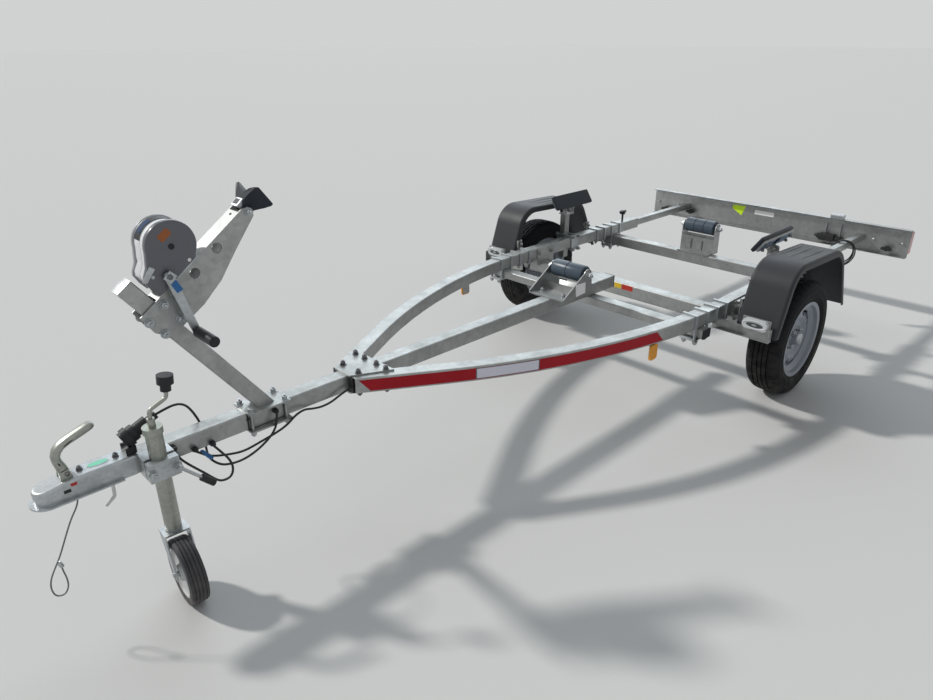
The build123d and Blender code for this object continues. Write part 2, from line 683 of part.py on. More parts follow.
# Bow stop: a rubber block with a V cut in its end, on a pin through the arm tip
stop_outline = [(418, 22), (450, 20), (452, -44), (404, -52), (372, -38), (372, -6)]
stop = head_plate(stop_outline, -stop_half, stop_half)
waist = head_plate([(360, 40), (404, 40), (404, -80), (360, -80)], -stop_half - 1, -head_y + 1.0)
waist = waist + mirror(waist, about=Plane.XZ)
stop = stop - waist
notch_x, notch_z = head_point(418, 0)
notch_face = make_face(Polyline((0, 0), (60, 46), (60, -46), close=True))
u_dir = Vector(math.cos(math.radians(head_angle)), 0, math.sin(math.radians(head_angle)))
v_dir = Vector(u_dir.Z, 0, -u_dir.X)
notch = Plane(Vector(notch_x, 0, notch_z) - v_dir * 90, x_dir=u_dir, z_dir=v_dir) * extrude(notch_face, 180)
stop = stop - notch
stop = stop - head_disc(388, -20, 6.3, -80, 80)
save("bow_stop", stop)


# Winch: two cheeks on the arm's top, a drum with its strap, and covers
def winch_outline(grow):
    discs = [*(Pos(drum_u, drum_v) * Circle(drum_cover_r + grow)).edges(),
             *(Pos(crank_u, crank_v) * Circle(36 + grow)).edges()]
    return make_hull(discs)


def winch_slab(grow, y0, y1):
    slab = Pos(0, y0, 0) * (head * extrude(winch_outline(grow), y1 - y0))
    return slab & head_plate([(30, 0), (30, 240), (260, 240), (260, 0)], -100, 100)


cheek_left = winch_slab(-3, winch_y - 4, winch_y)
cheek_right = winch_slab(-3, -winch_y, -winch_y + 4)
winch_base = head_plate([(46, 0), (46, 4), (196, 4), (196, 0)], -winch_y, winch_y)
tie = head_disc(78, 22, 5, -winch_y, winch_y)
save("winch_frame", cheek_left + cheek_right + winch_base + tie)
cover_left = winch_slab(0, winch_y, winch_y + 19)
cover_left = cover_left - head_disc(crank_u, crank_v, 9, winch_y - 1, winch_y + 20)
cover_right = winch_slab(0, -winch_y - 12, -winch_y)
save("winch_covers", group([cover_left, cover_right]))
drum = head_disc(drum_u, drum_v, 58, -winch_y + 4, winch_y - 4)
save("winch_drum", drum)

# Winch crank: shaft, flat arm and grip
shaft_x, shaft_z = head_point(crank_u, crank_v)
hang = math.radians(crank_hang)
grip_x = shaft_x + crank_length * math.cos(hang)
grip_z = shaft_z + crank_length * math.sin(hang)
crank_face = make_hull([*Circle(13).edges(), *(Pos(crank_length, 0) * Circle(11)).edges()])
crank_plane = Plane((shaft_x, crank_y, shaft_z), x_dir=(math.cos(hang), 0, math.sin(hang)), z_dir=(0, 1, 0))
crank_arm = crank_plane * extrude(crank_face, 6)
crank_shaft = rod((shaft_x, winch_y + 4, shaft_z), (shaft_x, crank_y + 12, shaft_z), 8)
crank_pin = rod((grip_x, crank_y, grip_z), (grip_x, crank_y + 104, grip_z), 6)
save("winch_crank", crank_arm + crank_shaft + crank_pin)
grip = rod((grip_x, crank_y + 8, grip_z), (grip_x, crank_y + 116, grip_z), 16)
grip = fillet(grip.edges().filter_by(GeomType.CIRCLE), 5) - rod((grip_x, crank_y, grip_z),
                                                               (grip_x, crank_y + 104, grip_z), 6)
save("crank_grip", grip)

# Coupling head
plan = make_face(Polyline((coupling_rear, -coupling_half), (ball_x, -coupling_half), (ball_x, coupling_half),
                          (coupling_rear, coupling_half), close=True)) + Pos(ball_x, 0) * Circle(coupling_half)
head_body = Pos(0, 0, ball_mouth) * extrude(plan, 60)
slope_from = ball_x - 78
slope_to = ball_x + 72
slope = plate_xz([(slope_from, coupling_high), (slope_to, coupling_high - 20), (slope_to, coupling_high + 36),
                  (slope_from, coupling_high + 36)], -80, 80)
head_body = head_body - slope
top_faces = [f for f in head_body.faces() if f.center().Z > ball_mouth + 40 and f.normal_at().Z > 0.9]
top_edges = []
for e in head_body.edges():
    rim = abs(e.center().Y) > coupling_half - 16 or e.center().X > ball_x + 12
    if e.center().Z > ball_mouth + 40 and rim and abs((e @ 0).Z - (e @ 1).Z) < 19:
        top_edges.append(e)
head_body = fillet(top_edges, 9)
flange_plan = make_face(Polyline((coupling_rear + 40, -coupling_half - 11), (ball_x, -coupling_half - 13),
                                 (ball_x, coupling_half + 13), (coupling_rear + 40, coupling_half + 11), close=True))
flange_plan = flange_plan + Pos(ball_x, 0) * Circle(coupling_half + 13)
flange = Pos(0, 0, ball_mouth) * extrude(flange_plan, 5)
head_body = head_body + flange
bar_room = block(coupling_rear - 10, bar_front, -tube / 2, tube / 2, ball_mouth - 10, chassis_top)
head_body = head_body - bar_room
ball_room = Pos(ball_x, 0, ball_z) * Sphere(ball_r) + rod((ball_x, 0, ball_mouth - 5), (ball_x, 0, ball_z), ball_r)
head_body = head_body - ball_room
save("coupling_head", head_body)

# Coupling handle: a bent channel, open underneath
handle_half = 15.0
handle_x = 2872.0
handle_outer = [(-12, 0), (18, 0), (27, 54), (12, 90), (-89, 130), (-97, 107), (-24, 76)]
handle_inner = [(-17, 0), (12, 0), (20, 52), (6, 84), (-95, 125), (-104, 92), (-34, 66)]


def handle_plate(outline, radius, half):
    shape = plate_xz([(handle_x + u, coupling_high + v) for u, v in outline], -half, half)
    bends = [e for e in shape.edges().filter_by(Axis.Y)
             if e.center().Z > coupling_high + 40 and e.center().X > handle_x - 60]
    return fillet(bends, radius)


handle = handle_plate(handle_outer, 16, handle_half) - handle_plate(handle_inner, 12, handle_half - 3)
handle_pin = rod((handle_x, -22, coupling_high + 12), (handle_x, 22, coupling_high + 12), 7)
handle_foot = block(handle_x - 10, handle_x + 16, -handle_half, handle_half, coupling_high - 10, coupling_high + 2)
handle = handle + handle_foot - head_body
save("coupling_handle", handle + handle_pin)

# Hook for the safety wire under the coupling
hook_path = FilletPolyline((2770, 18, 438), (2772, 18, 392), (2800, 18, 372), radius=[14])
hook = sweep(Plane((2770, 18, 438), z_dir=(2, 0, -46)) * Circle(5), path=hook_path)
save("wire_hook", hook + block(2756, 2784, -tube / 2, 28, chassis_low - 4, chassis_low))

# Jack clamp on the drawbar's left face
clamp_x0 = jack_x - 44
clamp_x1 = jack_x + 44
clamp = block(clamp_x0, clamp_x1, tube / 2, jack_y + 36, chassis_low, chassis_top)
clamp = clamp - rod((jack_x, jack_y, chassis_low - 5), (jack_x, jack_y, chassis_top + 5), jack_tube_r + jack_fit)
clamp = clamp - block(clamp_x0 - 1, clamp_x1 + 1, jack_y + 4, jack_y + 10, chassis_low - 1, chassis_top + 1)
lip_low = block(clamp_x0, clamp_x1, tube / 2, jack_y + 4, chassis_top, chassis_top + 4) - rod(
    (jack_x, jack_y, chassis_low), (jack_x, jack_y, chassis_top + 9), jack_tube_r + jack_fit)
hinge_bolt = rod((clamp_x0 + 9, tube / 2 + 2, chassis_mid), (clamp_x0 + 9, jack_y + 48, chassis_mid), 6)
front_bolt = rod((clamp_x1 - 9, tube / 2 + 2, chassis_mid), (clamp_x1 - 9, jack_y + 44, chassis_mid), 6)
lever_points = [(clamp_x0 + 9, jack_y + 54, chassis_mid), (2560, jack_y + 60, 412)]
lever = rod(lever_points[0], lever_points[1], 5) + rod((clamp_x0 + 9, jack_y + 48, chassis_mid),
                                                       (clamp_x0 + 9, jack_y + 62, chassis_mid), 9)
save("jack_clamp", clamp + lip_low + hinge_bolt + front_bolt + lever)
lever_dir = (Vector(*lever_points[1]) - Vector(*lever_points[0])).normalized()
knob_a = Vector(*lever_points[1]) - lever_dir * 4
knob_b = knob_a + lever_dir * 46
lever_grip = rod(tuple(knob_a), tuple(knob_b), 11) - rod(lever_points[0], lever_points[1], 5)

# Jack: tube, collar and crank
jack_tube = rod((jack_x, jack_y, jack_low), (jack_x, jack_y, jack_top), jack_tube_r)
jack_tube = jack_tube - rod((jack_x, jack_y, jack_low - 1), (jack_x, jack_y, jack_top - 8), jack_tube_r - 3)
jack_collar = rod((jack_x, jack_y, jack_top - 12), (jack_x, jack_y, jack_top + 8), jack_tube_r + 4) - rod(
    (jack_x, jack_y, jack_top - 13), (jack_x, jack_y, jack_top), jack_tube_r)
crank_rod_points = [(jack_x, jack_y, jack_top + 8), (jack_x, jack_y, 648), (jack_x - 54, jack_y, 670),
                    (jack_x - 60, jack_y, 727)]
crank_rod = sweep(Plane(crank_rod_points[0], z_dir=(0, 0, 1)) * Circle(6),
                  path=FilletPolyline(*crank_rod_points, radius=[16, 16]))
jack_boss = rod((jack_x, jack_y, jack_top + 8), (jack_x, jack_y, jack_top + 34), 11)
save("jack_tube", jack_tube + jack_collar + crank_rod + jack_boss)
knob_dir = (Vector(*crank_rod_points[3]) - Vector(*crank_rod_points[2])).normalized()
knob_low = Vector(*crank_rod_points[3]) - knob_dir * 36
knob_high = Vector(*crank_rod_points[3]) + knob_dir * 12
jack_knob = rod(tuple(knob_low), tuple(knob_high), 15) + rod(tuple(knob_low + knob_dir * 22), tuple(knob_high), 23)
save("jack_knob", jack_knob - crank_rod)

# Jack inner tube and fork, swung round by the castor angle, with the small wheel
trail = math.radians(castor_angle)


def castor_place(shape):
    return Pos(jack_x, jack_y, 0) * Rot(0, 0, castor_angle) * shape


inner_r = jack_tube_r - 3.3
fork_top = jack_low - 6
fork_half = jack_wheel_w / 2 + 6
inner_tube = rod((0, 0, fork_top - 4), (0, 0, 420), inner_r) - rod((0, 0, fork_top + 2), (0, 0, 421), inner_r - 3)
crown = block(-26, 30, -fork_half - 4, fork_half + 4, fork_top - 6, fork_top)
fork_plate = make_face(Polyline((-26, -fork_top), (30, -fork_top), (jack_trail + 14, -jack_wheel_z + 6),
                                (jack_trail + 14, -jack_wheel_z + 18), (jack_trail - 14, -jack_wheel_z + 18),
                                (jack_trail - 18, -jack_wheel_z), close=True))
fork = inner_tube + crown
for y in (-fork_half - 4, fork_half):
    fork = fork + Plane((0, y, 0), x_dir=(1, 0, 0), z_dir=(0, 1, 0)) * extrude(fork_plate, 4)
fork = fork + rod((jack_trail, -fork_half - 10, jack_wheel_z), (jack_trail, fork_half + 10, jack_wheel_z), 8)
save("jack_fork", castor_place(fork))
small = rod((jack_trail, -jack_wheel_w / 2, jack_wheel_z), (jack_trail, jack_wheel_w / 2, jack_wheel_z),
            jack_wheel_r)
small = fillet(small.edges().filter_by(GeomType.CIRCLE), 7)
dish_a = rod((jack_trail, jack_wheel_w / 2 - 12, jack_wheel_z), (jack_trail, jack_wheel_w / 2 + 1, jack_wheel_z), 76)
dish_b = rod((jack_trail, -jack_wheel_w / 2 - 1, jack_wheel_z), (jack_trail, -jack_wheel_w / 2 + 12, jack_wheel_z), 76)
small = small - dish_a - dish_b
small = small + rod((jack_trail, -jack_wheel_w / 2 + 2, jack_wheel_z), (jack_trail, jack_wheel_w / 2 - 2, jack_wheel_z),
                    24)
small = small - rod((jack_trail, -50, jack_wheel_z), (jack_trail, 50, jack_wheel_z), 8.2)
save("jack_wheel", castor_place(small))

# Light board: channel, arms, tail lamps
web = block(board_x - board_t, board_x, -board_half, board_half, board_low, board_top)
top_flange = block(board_x, board_x + board_depth, -board_half, board_half, board_top - board_t, board_top)
low_flange = block(board_x, board_x + board_depth, -board_half, board_half, board_low, board_low + board_t)
save("light_board", web + top_flange + low_flange)
board_arm = tube_x(board_x, arm_front, rail_y, arm_z, arm_size, arm_size, 3.0, 4.0)
save("board_arms", both_sides(board_arm))
lamp_box = block(tail_x, board_x - board_t, board_half - lamp_width, board_half, lamp_low, lamp_high)
lamp_box = fillet(lamp_box.edges().filter_by(Axis.X), 8)
save("tail_lamps", both_sides(lamp_box))

# Sleeves in the rail ends that guide the arms, and the knobs that clamp them
sleeve_wall = (tube - 2 * tube_wall - arm_size) / 2 - 0.4
sleeve = tube_x(rail_rear, rail_rear + 60, rail_y, arm_z, arm_size + 0.8 + 2 * sleeve_wall,
                arm_size + 0.8 + 2 * sleeve_wall, sleeve_wall, 2.0)
inner_sleeve = tube_x(rail_rear + 380, rail_rear + 440, rail_y, arm_z, arm_size + 0.8 + 2 * sleeve_wall, arm_size + 0.8 + 2 * sleeve_wall,
                      sleeve_wall, 2.0)
save("arm_sleeves", both_sides(group([sleeve, inner_sleeve])))
knob_x = -600.0
knob_low = chassis_top + 46
knob_high = knob_low + 22
knob = rod((knob_x, rail_y, chassis_top), (knob_x, rail_y, knob_low + 4), 6)
knob = knob + rod((knob_x, rail_y, knob_low), (knob_x, rail_y, knob_high), 15)
knob = knob + block(knob_x - 28, knob_x + 28, rail_y - 7, rail_y + 7, knob_low + 8, knob_high)
save("clamp_knobs", group([both_sides(knob), lever_grip]))
arm_knob_y = rail_y - 40
arm_knob_z = board_low + 50
lamp_knob_y = board_half - lamp_width / 2
lamp_knob_z = lamp_low + 25
board_knob = rod((board_x, arm_knob_y, arm_knob_z), (board_x + 26, arm_knob_y, arm_knob_z), 6)
board_knob = board_knob + rod((board_x + 16, arm_knob_y, arm_knob_z), (board_x + 34, arm_knob_y, arm_knob_z), 17)
lamp_knob = rod((board_x, lamp_knob_y, lamp_knob_z), (board_x + 24, lamp_knob_y, lamp_knob_z), 5)
lamp_knob = lamp_knob + rod((board_x + 14, lamp_knob_y, lamp_knob_z), (board_x + 32, lamp_knob_y, lamp_knob_z), 15)
save("board_knobs", both_sides(group([board_knob, lamp_knob])))
plate_lamp = block(board_x - 6, board_x + 40, 400, 472, board_top, board_top + 26)
save("plate_lamp", fillet(plate_lamp.edges().filter_by(Axis.Y), 6))

# Plug parked in its holder over the drawbar
plug_a = Vector(2716, 4, 545)
plug_b = Vector(2612, 4, 592)
plug_dir = (plug_b - plug_a).normalized()
plug = rod(tuple(plug_a), tuple(plug_a + plug_dir * 44), 25)
plug = plug + rod(tuple(plug_a + plug_dir * 40), tuple(plug_a + plug_dir * 84), 20)
plug = plug + rod(tuple(plug_a + plug_dir * 80), tuple(plug_b), 12)
save("plug", plug)
holder = rod(tuple(plug_a + plug_dir * 8), tuple(plug_a + plug_dir * 26), 30) - rod(
    tuple(plug_a + plug_dir * 2), tuple(plug_a + plug_dir * 32), 25)
holder_low = block(2688, 2718, -22, 22, chassis_top + 4, chassis_top + 27)
holder_low = holder_low - rod(tuple(plug_a - plug_dir * 20), tuple(plug_a + plug_dir * 60), 26)
save("plug_holder", holder + holder_low)

# Cables that lie along the drawbar, and the safety wire
cable_r = 3.8
main_route = [
    tuple(plug_b),
    (2574, 2, 600),
    (2540, -10, 594),
    (2512, -26, 572),
    (2490, -40, 534),
    (2472, -44, 486),
    (2470, -38, 440),
    (2482, -8, 412),
    (2492, 26, 396),
    (2470, 52, 374),
    (2434, 50, 360),
    (2391, 44, 353),
    (2347, 44, 363),
    (2308, 50, 387),
    (2282, 57, 414),
    (2265, 58, 446),
    (2256, 46, 474),
]
loop_route = [
    (2593, 44, 478),
    (2589, 47, 454),
    (2568, 52, 424),
    (2544, 57, 396),
    (2520, 60, 368),
    (2500, 60, 342),
    (2478, 59, 320),
    (2446, 62, 322),
    (2434, 63, 352),
    (2442, 61, 388),
    (2462, 53, 420),
    (2477, 45, 444),
]
rear_route = [
    (2532, 42, 446),
    (2509, 40, 424),
    (2480, 34, 402),
    (2430, 32, 385),
    (2379, 32, 374),
    (2317, 32, 384),
    (2267, 46, 402),
    (2229, 57, 422),
    (2196, 58, 446),
    (2158, 51, 450),
    (2122, 45, 436),
    (2084, 44, 429),
    (2044, 45, 434),
    (2010, 48, 450),
    (rail_cut_x + 9.5, 50, 462),
]
cord_rows = [
    ("main_cable", main_route, cable_r),
    ("loop_cable", loop_route, cable_r),
    ("rear_cable", rear_route, cable_r),
]
for name, route, radius in cord_rows:
    save(name, cord(name, route, radius))

# Clips that hold the cables on the drawbar's left side
clip_rows = [
    ("main end", 2244.0, 2268.0, 475.9, 492.0),
    ("rear start", 2524.0, 2548.0, 448.8, 465.0),
    ("loop start", 2583.0, 2603.0, 478.9, 495.0),
    ("loop end", 2466.0, 2490.0, 446.0, 462.0),
]
clips = []
for place, x0, x1, z0, z1 in clip_rows:
    clips.append(block(x0, x1, tube / 2, tube / 2 + 20, z0, z1))
save("cable_clips", group(clips))

wire_r = 2.2
wire_route = [
    (2868, 40, ball_mouth - 1),
    (2872, 42, 426),
    (2897, 44, 393),
    (2922, 45, 345),
    (2940, 45, 308),
    (2953, 45, 284),
    (2970, 45, 258),
    (2984, 45, 233),
    (2990, 45, 204),
    (2984, 45, 174),
    (2962, 45, 166),
    (2948, 45, 186),
    (2946, 45, 216),
    (2950, 45, 244),
    (2951, 45, 268),
]
save("safety_wire", cord("safety_wire", wire_route, wire_r))

# Spare cable hung in rings over the left board arm
coil_rows = [("front ring", -1106.0, 70.0), ("middle ring", -1119.0, 64.0), ("rear ring", -1132.0, 74.0)]
coil_turn = 42.0
coil_edge = arm_size / 2 / math.cos(math.radians(coil_turn))
rings = []
for place, x, ring_r in coil_rows:
    centre_z = arm_z + arm_size / 2 - math.sqrt((ring_r - cable_r) ** 2 - coil_edge ** 2) - 1.25
    rings.append(Pos(x, rail_y, centre_z) * Rot(0, 0, coil_turn) * Rot(0, 90, 0) * Torus(ring_r, cable_r))
save("cable_coil", group(rings))
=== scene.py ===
import json
import math

import bmesh
import bpy
from mathutils import Matrix, Vector


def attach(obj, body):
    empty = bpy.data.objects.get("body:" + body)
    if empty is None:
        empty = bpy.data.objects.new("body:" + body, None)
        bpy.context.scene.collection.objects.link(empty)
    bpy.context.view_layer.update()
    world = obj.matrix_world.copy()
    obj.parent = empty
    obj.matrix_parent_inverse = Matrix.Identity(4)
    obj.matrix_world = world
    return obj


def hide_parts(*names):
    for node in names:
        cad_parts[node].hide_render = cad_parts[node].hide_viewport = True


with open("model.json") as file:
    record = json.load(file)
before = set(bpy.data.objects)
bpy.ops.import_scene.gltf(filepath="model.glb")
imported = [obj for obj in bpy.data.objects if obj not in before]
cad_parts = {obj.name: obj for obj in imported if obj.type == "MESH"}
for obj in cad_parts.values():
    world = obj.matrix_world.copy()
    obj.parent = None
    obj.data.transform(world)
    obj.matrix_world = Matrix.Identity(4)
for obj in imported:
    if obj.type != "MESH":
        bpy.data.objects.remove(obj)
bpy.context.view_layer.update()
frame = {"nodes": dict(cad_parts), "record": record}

# Places are given in mm in the trailer's own frame, as in the part's source:
# X forward from under the road axle, Y to the left side, Z up.
FRAME_X = 756.0
FLOOR_Z = 20.0
MM = 0.001

# Driving sizes in mm
TUBE = 60.0
CHASSIS_TOP = 500.0
CHASSIS_MID = CHASSIS_TOP - TUBE / 2
CHASSIS_LOW = CHASSIS_TOP - TUBE
PLATE_T = 6.0
WHEEL_Y = 778.0
TYRE_R = 277.0
TYRE_W = 155.0
WHEEL_Z = FLOOR_Z + TYRE_R
DISC_Y = 24.0
STUD_R = 49.0
RAIL_Y = 585.0
RAIL_BEND_X = 318.3
RAIL_BEND_R = 2600.0
RAIL_TURN = math.radians(31.0)
RAIL_NOSE_Y = 50.0
RAIL_DROP = RAIL_BEND_R * (1 - math.cos(RAIL_TURN))
RAIL_BEND_END = RAIL_BEND_X + RAIL_BEND_R * math.sin(RAIL_TURN)
RAIL_LEAD = (RAIL_Y - RAIL_DROP - RAIL_NOSE_Y) / math.sin(RAIL_TURN)
RAIL_NOSE_X = RAIL_BEND_END + RAIL_LEAD * math.cos(RAIL_TURN)
FRONT_CROSS_X = 530.0
FRONT_CROSS_H = 40.0
REAR_CROSS_X = -490.0
BEAM_X = 195.0
POST_X = -72.0
POST_FACE_Y = 655.0
PAD_PIVOT_Y = 613.0
PAD_PIVOT_Z = 667.0
ROLLER_FRONT = (678.0, 592.0)
ROLLER_REAR = (-530.0, 585.0)
CHEEK_Y = 102.0
WINCH_FOOT_X = 2278.0
HEAD_PLACE = (2578.8, 919.2)
HEAD_TURN = math.radians(143.73)
HEAD_FACE = 31.0
HEAD_UP = (math.sin(HEAD_TURN), -math.cos(HEAD_TURN))
WINCH_FACE = 34.0
JACK_X = 2651.0
JACK_Y = 77.0
COUPLING_TOP = 504.0
COUPLING_HALF = 35.0
BOARD_X = -1417.0
LAMP_X = 362.0
LAMP_Y = 772.0
LAMP_Z = 457.0

SIDES = ((1, "left"), (-1, "right"))
# A rounded corner's two directions, and where its arc starts in degrees
CORNERS = ((1, 1, 0), (-1, 1, 90), (-1, -1, 180), (1, -1, 270))

# The photograph's frame in pixels and the camera that looks along it
PHOTO_WIDTH = 933
CAMERA_PLACE = (3191.08, 1916.92, 1599.08)
CAMERA_AZIMUTH = math.radians(-133.82512)
CAMERA_DIP = math.radians(24.33563)
CAMERA_ROLL = math.radians(-0.22493)
CAMERA_FOCAL_PX = 698.9
SENSOR_MM = 36.0


def at(x, y, z):
    """A place in mm of the trailer's own frame, in metres of the row frame."""
    return Vector(((x - FRAME_X) * MM, y * MM, (z - FLOOR_Z) * MM))


def head_at(u, v, y):
    """A place on the winch head, u along its arm and v square to it, as x, y, z in mm."""
    x = HEAD_PLACE[0] + u * math.cos(HEAD_TURN) + v * math.sin(HEAD_TURN)
    z = HEAD_PLACE[1] + u * math.sin(HEAD_TURN) - v * math.cos(HEAD_TURN)
    return x, y, z


def link(obj):
    bpy.context.scene.collection.objects.link(obj)
    return obj


def settle(obj, body, replaced=()):
    """Says what a piece rides on and which nodes it stands for."""
    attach(obj, body)
    if replaced:
        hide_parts(*replaced)


def smooth_by_angle(bm, degrees):
    limit = math.radians(degrees)
    for face in bm.faces:
        face.smooth = True
    for edge in bm.edges:
        if len(edge.link_faces) == 2 and edge.calc_face_angle(0.0) > limit:
            edge.smooth = False


def mesh_piece(name, bm, finishes, body, replaced=(), smooth=30.0):
    """Writes a bmesh that is already in place as one piece. Edges that turn more than smooth stay sharp."""
    if smooth:
        smooth_by_angle(bm, smooth)
    mesh = bpy.data.meshes.new(name)
    bm.to_mesh(mesh)
    bm.free()
    for finish in finishes:
        mesh.materials.append(finish)
    settle(link(bpy.data.objects.new(name, mesh)), body, replaced)


def add_shell(bm, rings, caps=True, looped=False, index=0):
    """Joins rings of places in mm, each with the same count, into one skin, capped or looped round."""
    verts = [[bm.verts.new(at(*place)) for place in ring] for ring in rings]
    if looped:
        verts.append(verts[0])
    count = len(rings[0])
    faces = []
    for near, far in zip(verts, verts[1:]):
        for j in range(count):
            k = (j + 1) % count
            faces.append(bm.faces.new((near[j], near[k], far[k], far[j])))
    if caps and not looped:
        faces += [bm.faces.new(verts[0][::-1]), bm.faces.new(verts[-1])]
    for face in faces:
        face.material_index = index
    bmesh.ops.recalc_face_normals(bm, faces=faces)
    return faces


def add_slab(bm, outline, step, bevel=0.0, index=0):
    """A flat slab: outline gives the places on one face, and step leads to its other face."""
    far = [tuple(Vector(place) + Vector(step)) for place in outline]
    faces = add_shell(bm, [outline, far], index=index)
    if bevel:
        edges = [edge for face in faces[-2:] for edge in face.edges]
        cut = bmesh.ops.bevel(bm, geom=edges, offset=bevel * MM, segments=2, profile=0.6,
                              affect="EDGES", clamp_overlap=True)
        for face in cut["faces"]:
            face.material_index = index


def add_box(bm, x0, x1, y0, y1, z0, z1, bevel=0.0, index=0):
    add_slab(bm, [(x, y, z0) for x, y in rectangle(x0, x1, y0, y1)], (0, 0, z1 - z0), bevel, index)


def add_turned(bm, profile, centre, axis, steps=40, index=0, looped=False):
    """A turned shape: profile rows are (radius, distance along the axis) in mm."""
    axis = Vector(axis).normalized()
    side = axis.orthogonal().normalized()
    other = axis.cross(side)
    turns = [2 * math.pi * k / steps for k in range(steps)]
    rings = []
    for radius, along in profile:
        middle = Vector(centre) + axis * along
        rings.append([tuple(middle + (side * math.cos(turn) + other * math.sin(turn)) * radius)
                      for turn in turns])
    add_shell(bm, rings, looped=looped, index=index)


def arc(centre, radius, start, end, steps):
    """Places (a, b) on an arc, angles in degrees."""
    turns = [math.radians(start + (end - start) * k / steps) for k in range(steps + 1)]
    return [(centre[0] + radius * math.cos(turn), centre[1] + radius * math.sin(turn)) for turn in turns]


def oval(centre, half_long, half_wide, steps=24):
    turns = [2 * math.pi * k / steps for k in range(steps)]
    return [(centre[0] + half_long * math.cos(turn), centre[1] + half_wide * math.sin(turn))
            for turn in turns]


def rectangle(a0, a1, b0, b1):
    return [(a0, b0), (a1, b0), (a1, b1), (a0, b1)]


def on_x(x, face):
    return [(x, y, z) for y, z in face]


def on_y(y, face):
    return [(x, y, z) for x, z in face]


# Node trees: an input takes a value or, from another node's output, a link


def feed(tree, sockets, values):
    for key, value in values.items():
        if isinstance(value, bpy.types.NodeSocket):
            tree.links.new(value, sockets[key])
        else:
            sockets[key].default_value = value


def add_node(tree, kind, values=(), **settings):
    node = tree.nodes.new(kind)
    for key, value in settings.items():
        setattr(node, key, value)
    feed(tree, node.inputs, dict(values))
    return node


def new_tree(name, kind, inputs, outputs):
    """A group with named inputs (label, kind, value) and outputs (label, kind)."""
    tree = bpy.data.node_groups.new(name, kind)
    for label, socket_kind, value in inputs:
        socket = tree.interface.new_socket(label, in_out="INPUT", socket_type="NodeSocket" + socket_kind)
        if value is not None:
            socket.default_value = value
    for label, socket_kind in outputs:
        tree.interface.new_socket(label, in_out="OUTPUT", socket_type="NodeSocket" + socket_kind)
    return tree, tree.nodes.new("NodeGroupInput").outputs, tree.nodes.new("NodeGroupOutput").inputs


def maths(tree, operation, *values, clamp=False):
    node = add_node(tree, "ShaderNodeMath", enumerate(values), operation=operation, use_clamp=clamp)
    return node.outputs[0]


def noise(tree, vector, scale, detail, rough=0.5):
    values = {"Vector": vector, "Scale": scale, "Detail": detail, "Roughness": rough}
    return add_node(tree, "ShaderNodeTexNoise", values).outputs["Fac"]


def ranged(tree, value, low, high, to_low, to_high):
    values = {"Value": value, "From Min": low, "From Max": high, "To Min": to_low, "To Max": to_high}
    return add_node(tree, "ShaderNodeMapRange", values).outputs["Result"]


def mixed(tree, share, first, second):
    values = {"Factor": share, "A": first, "B": second}
    return add_node(tree, "ShaderNodeMix", values, data_type="RGBA").outputs["Result"]


# Shader groups shared by the finishes


def mottle_group():
    """Zinc spangle: patches a centimetre or two across with drips and dull areas between."""
    tree, inlet, outlet = new_tree(
        "zinc mottling", "ShaderNodeTree",
        [("Vector", "Vector", (0, 0, 0)), ("Dark", "Color", (0.3, 0.32, 0.34, 1)),
         ("Light", "Color", (0.6, 0.63, 0.66, 1)), ("Size", "Float", 60.0)],
        [("Color", "Color"), ("Roughness", "Float"), ("Height", "Float")])
    cells = add_node(tree, "ShaderNodeTexVoronoi", {"Vector": inlet["Vector"], "Scale": inlet["Size"]})
    grey = add_node(tree, "ShaderNodeSeparateColor", {"Color": cells.outputs["Color"]}).outputs["Red"]
    clouds = noise(tree, inlet["Vector"], 9.0, 6.0, 0.65)
    share = maths(tree, "MULTIPLY_ADD", grey, 0.35, ranged(tree, clouds, 0.3, 0.7, 0.0, 0.65))
    feed(tree, outlet, {"Color": mixed(tree, share, inlet["Dark"], inlet["Light"]),
                        "Roughness": ranged(tree, clouds, 0.25, 0.75, 0.52, 0.3),
                        "Height": noise(tree, inlet["Vector"], 240.0, 3.0)})
    return tree


def grain_group():
    """Fine moulded grain with a slow change of tone over the surface."""
    tree, inlet, outlet = new_tree(
        "moulded grain", "ShaderNodeTree",
        [("Vector", "Vector", (0, 0, 0)), ("Color", "Color", (0.05, 0.05, 0.05, 1)),
         ("Spread", "Float", 0.3), ("Grain", "Float", 900.0), ("Roughness", "Float", 0.55)],
        [("Color", "Color"), ("Roughness", "Float"), ("Height", "Float")])
    centred = maths(tree, "SUBTRACT", noise(tree, inlet["Vector"], 7.0, 5.0), 0.5)
    tone = maths(tree, "MULTIPLY_ADD", centred, inlet["Spread"], 1.0)
    color = add_node(tree, "ShaderNodeVectorMath", {0: inlet["Color"], "Scale": tone}, operation="SCALE")
    feed(tree, outlet, {"Color": color.outputs["Vector"],
                        "Roughness": maths(tree, "MULTIPLY_ADD", centred, 0.25, inlet["Roughness"]),
                        "Height": noise(tree, inlet["Vector"], inlet["Grain"], 2.0)})
    return tree


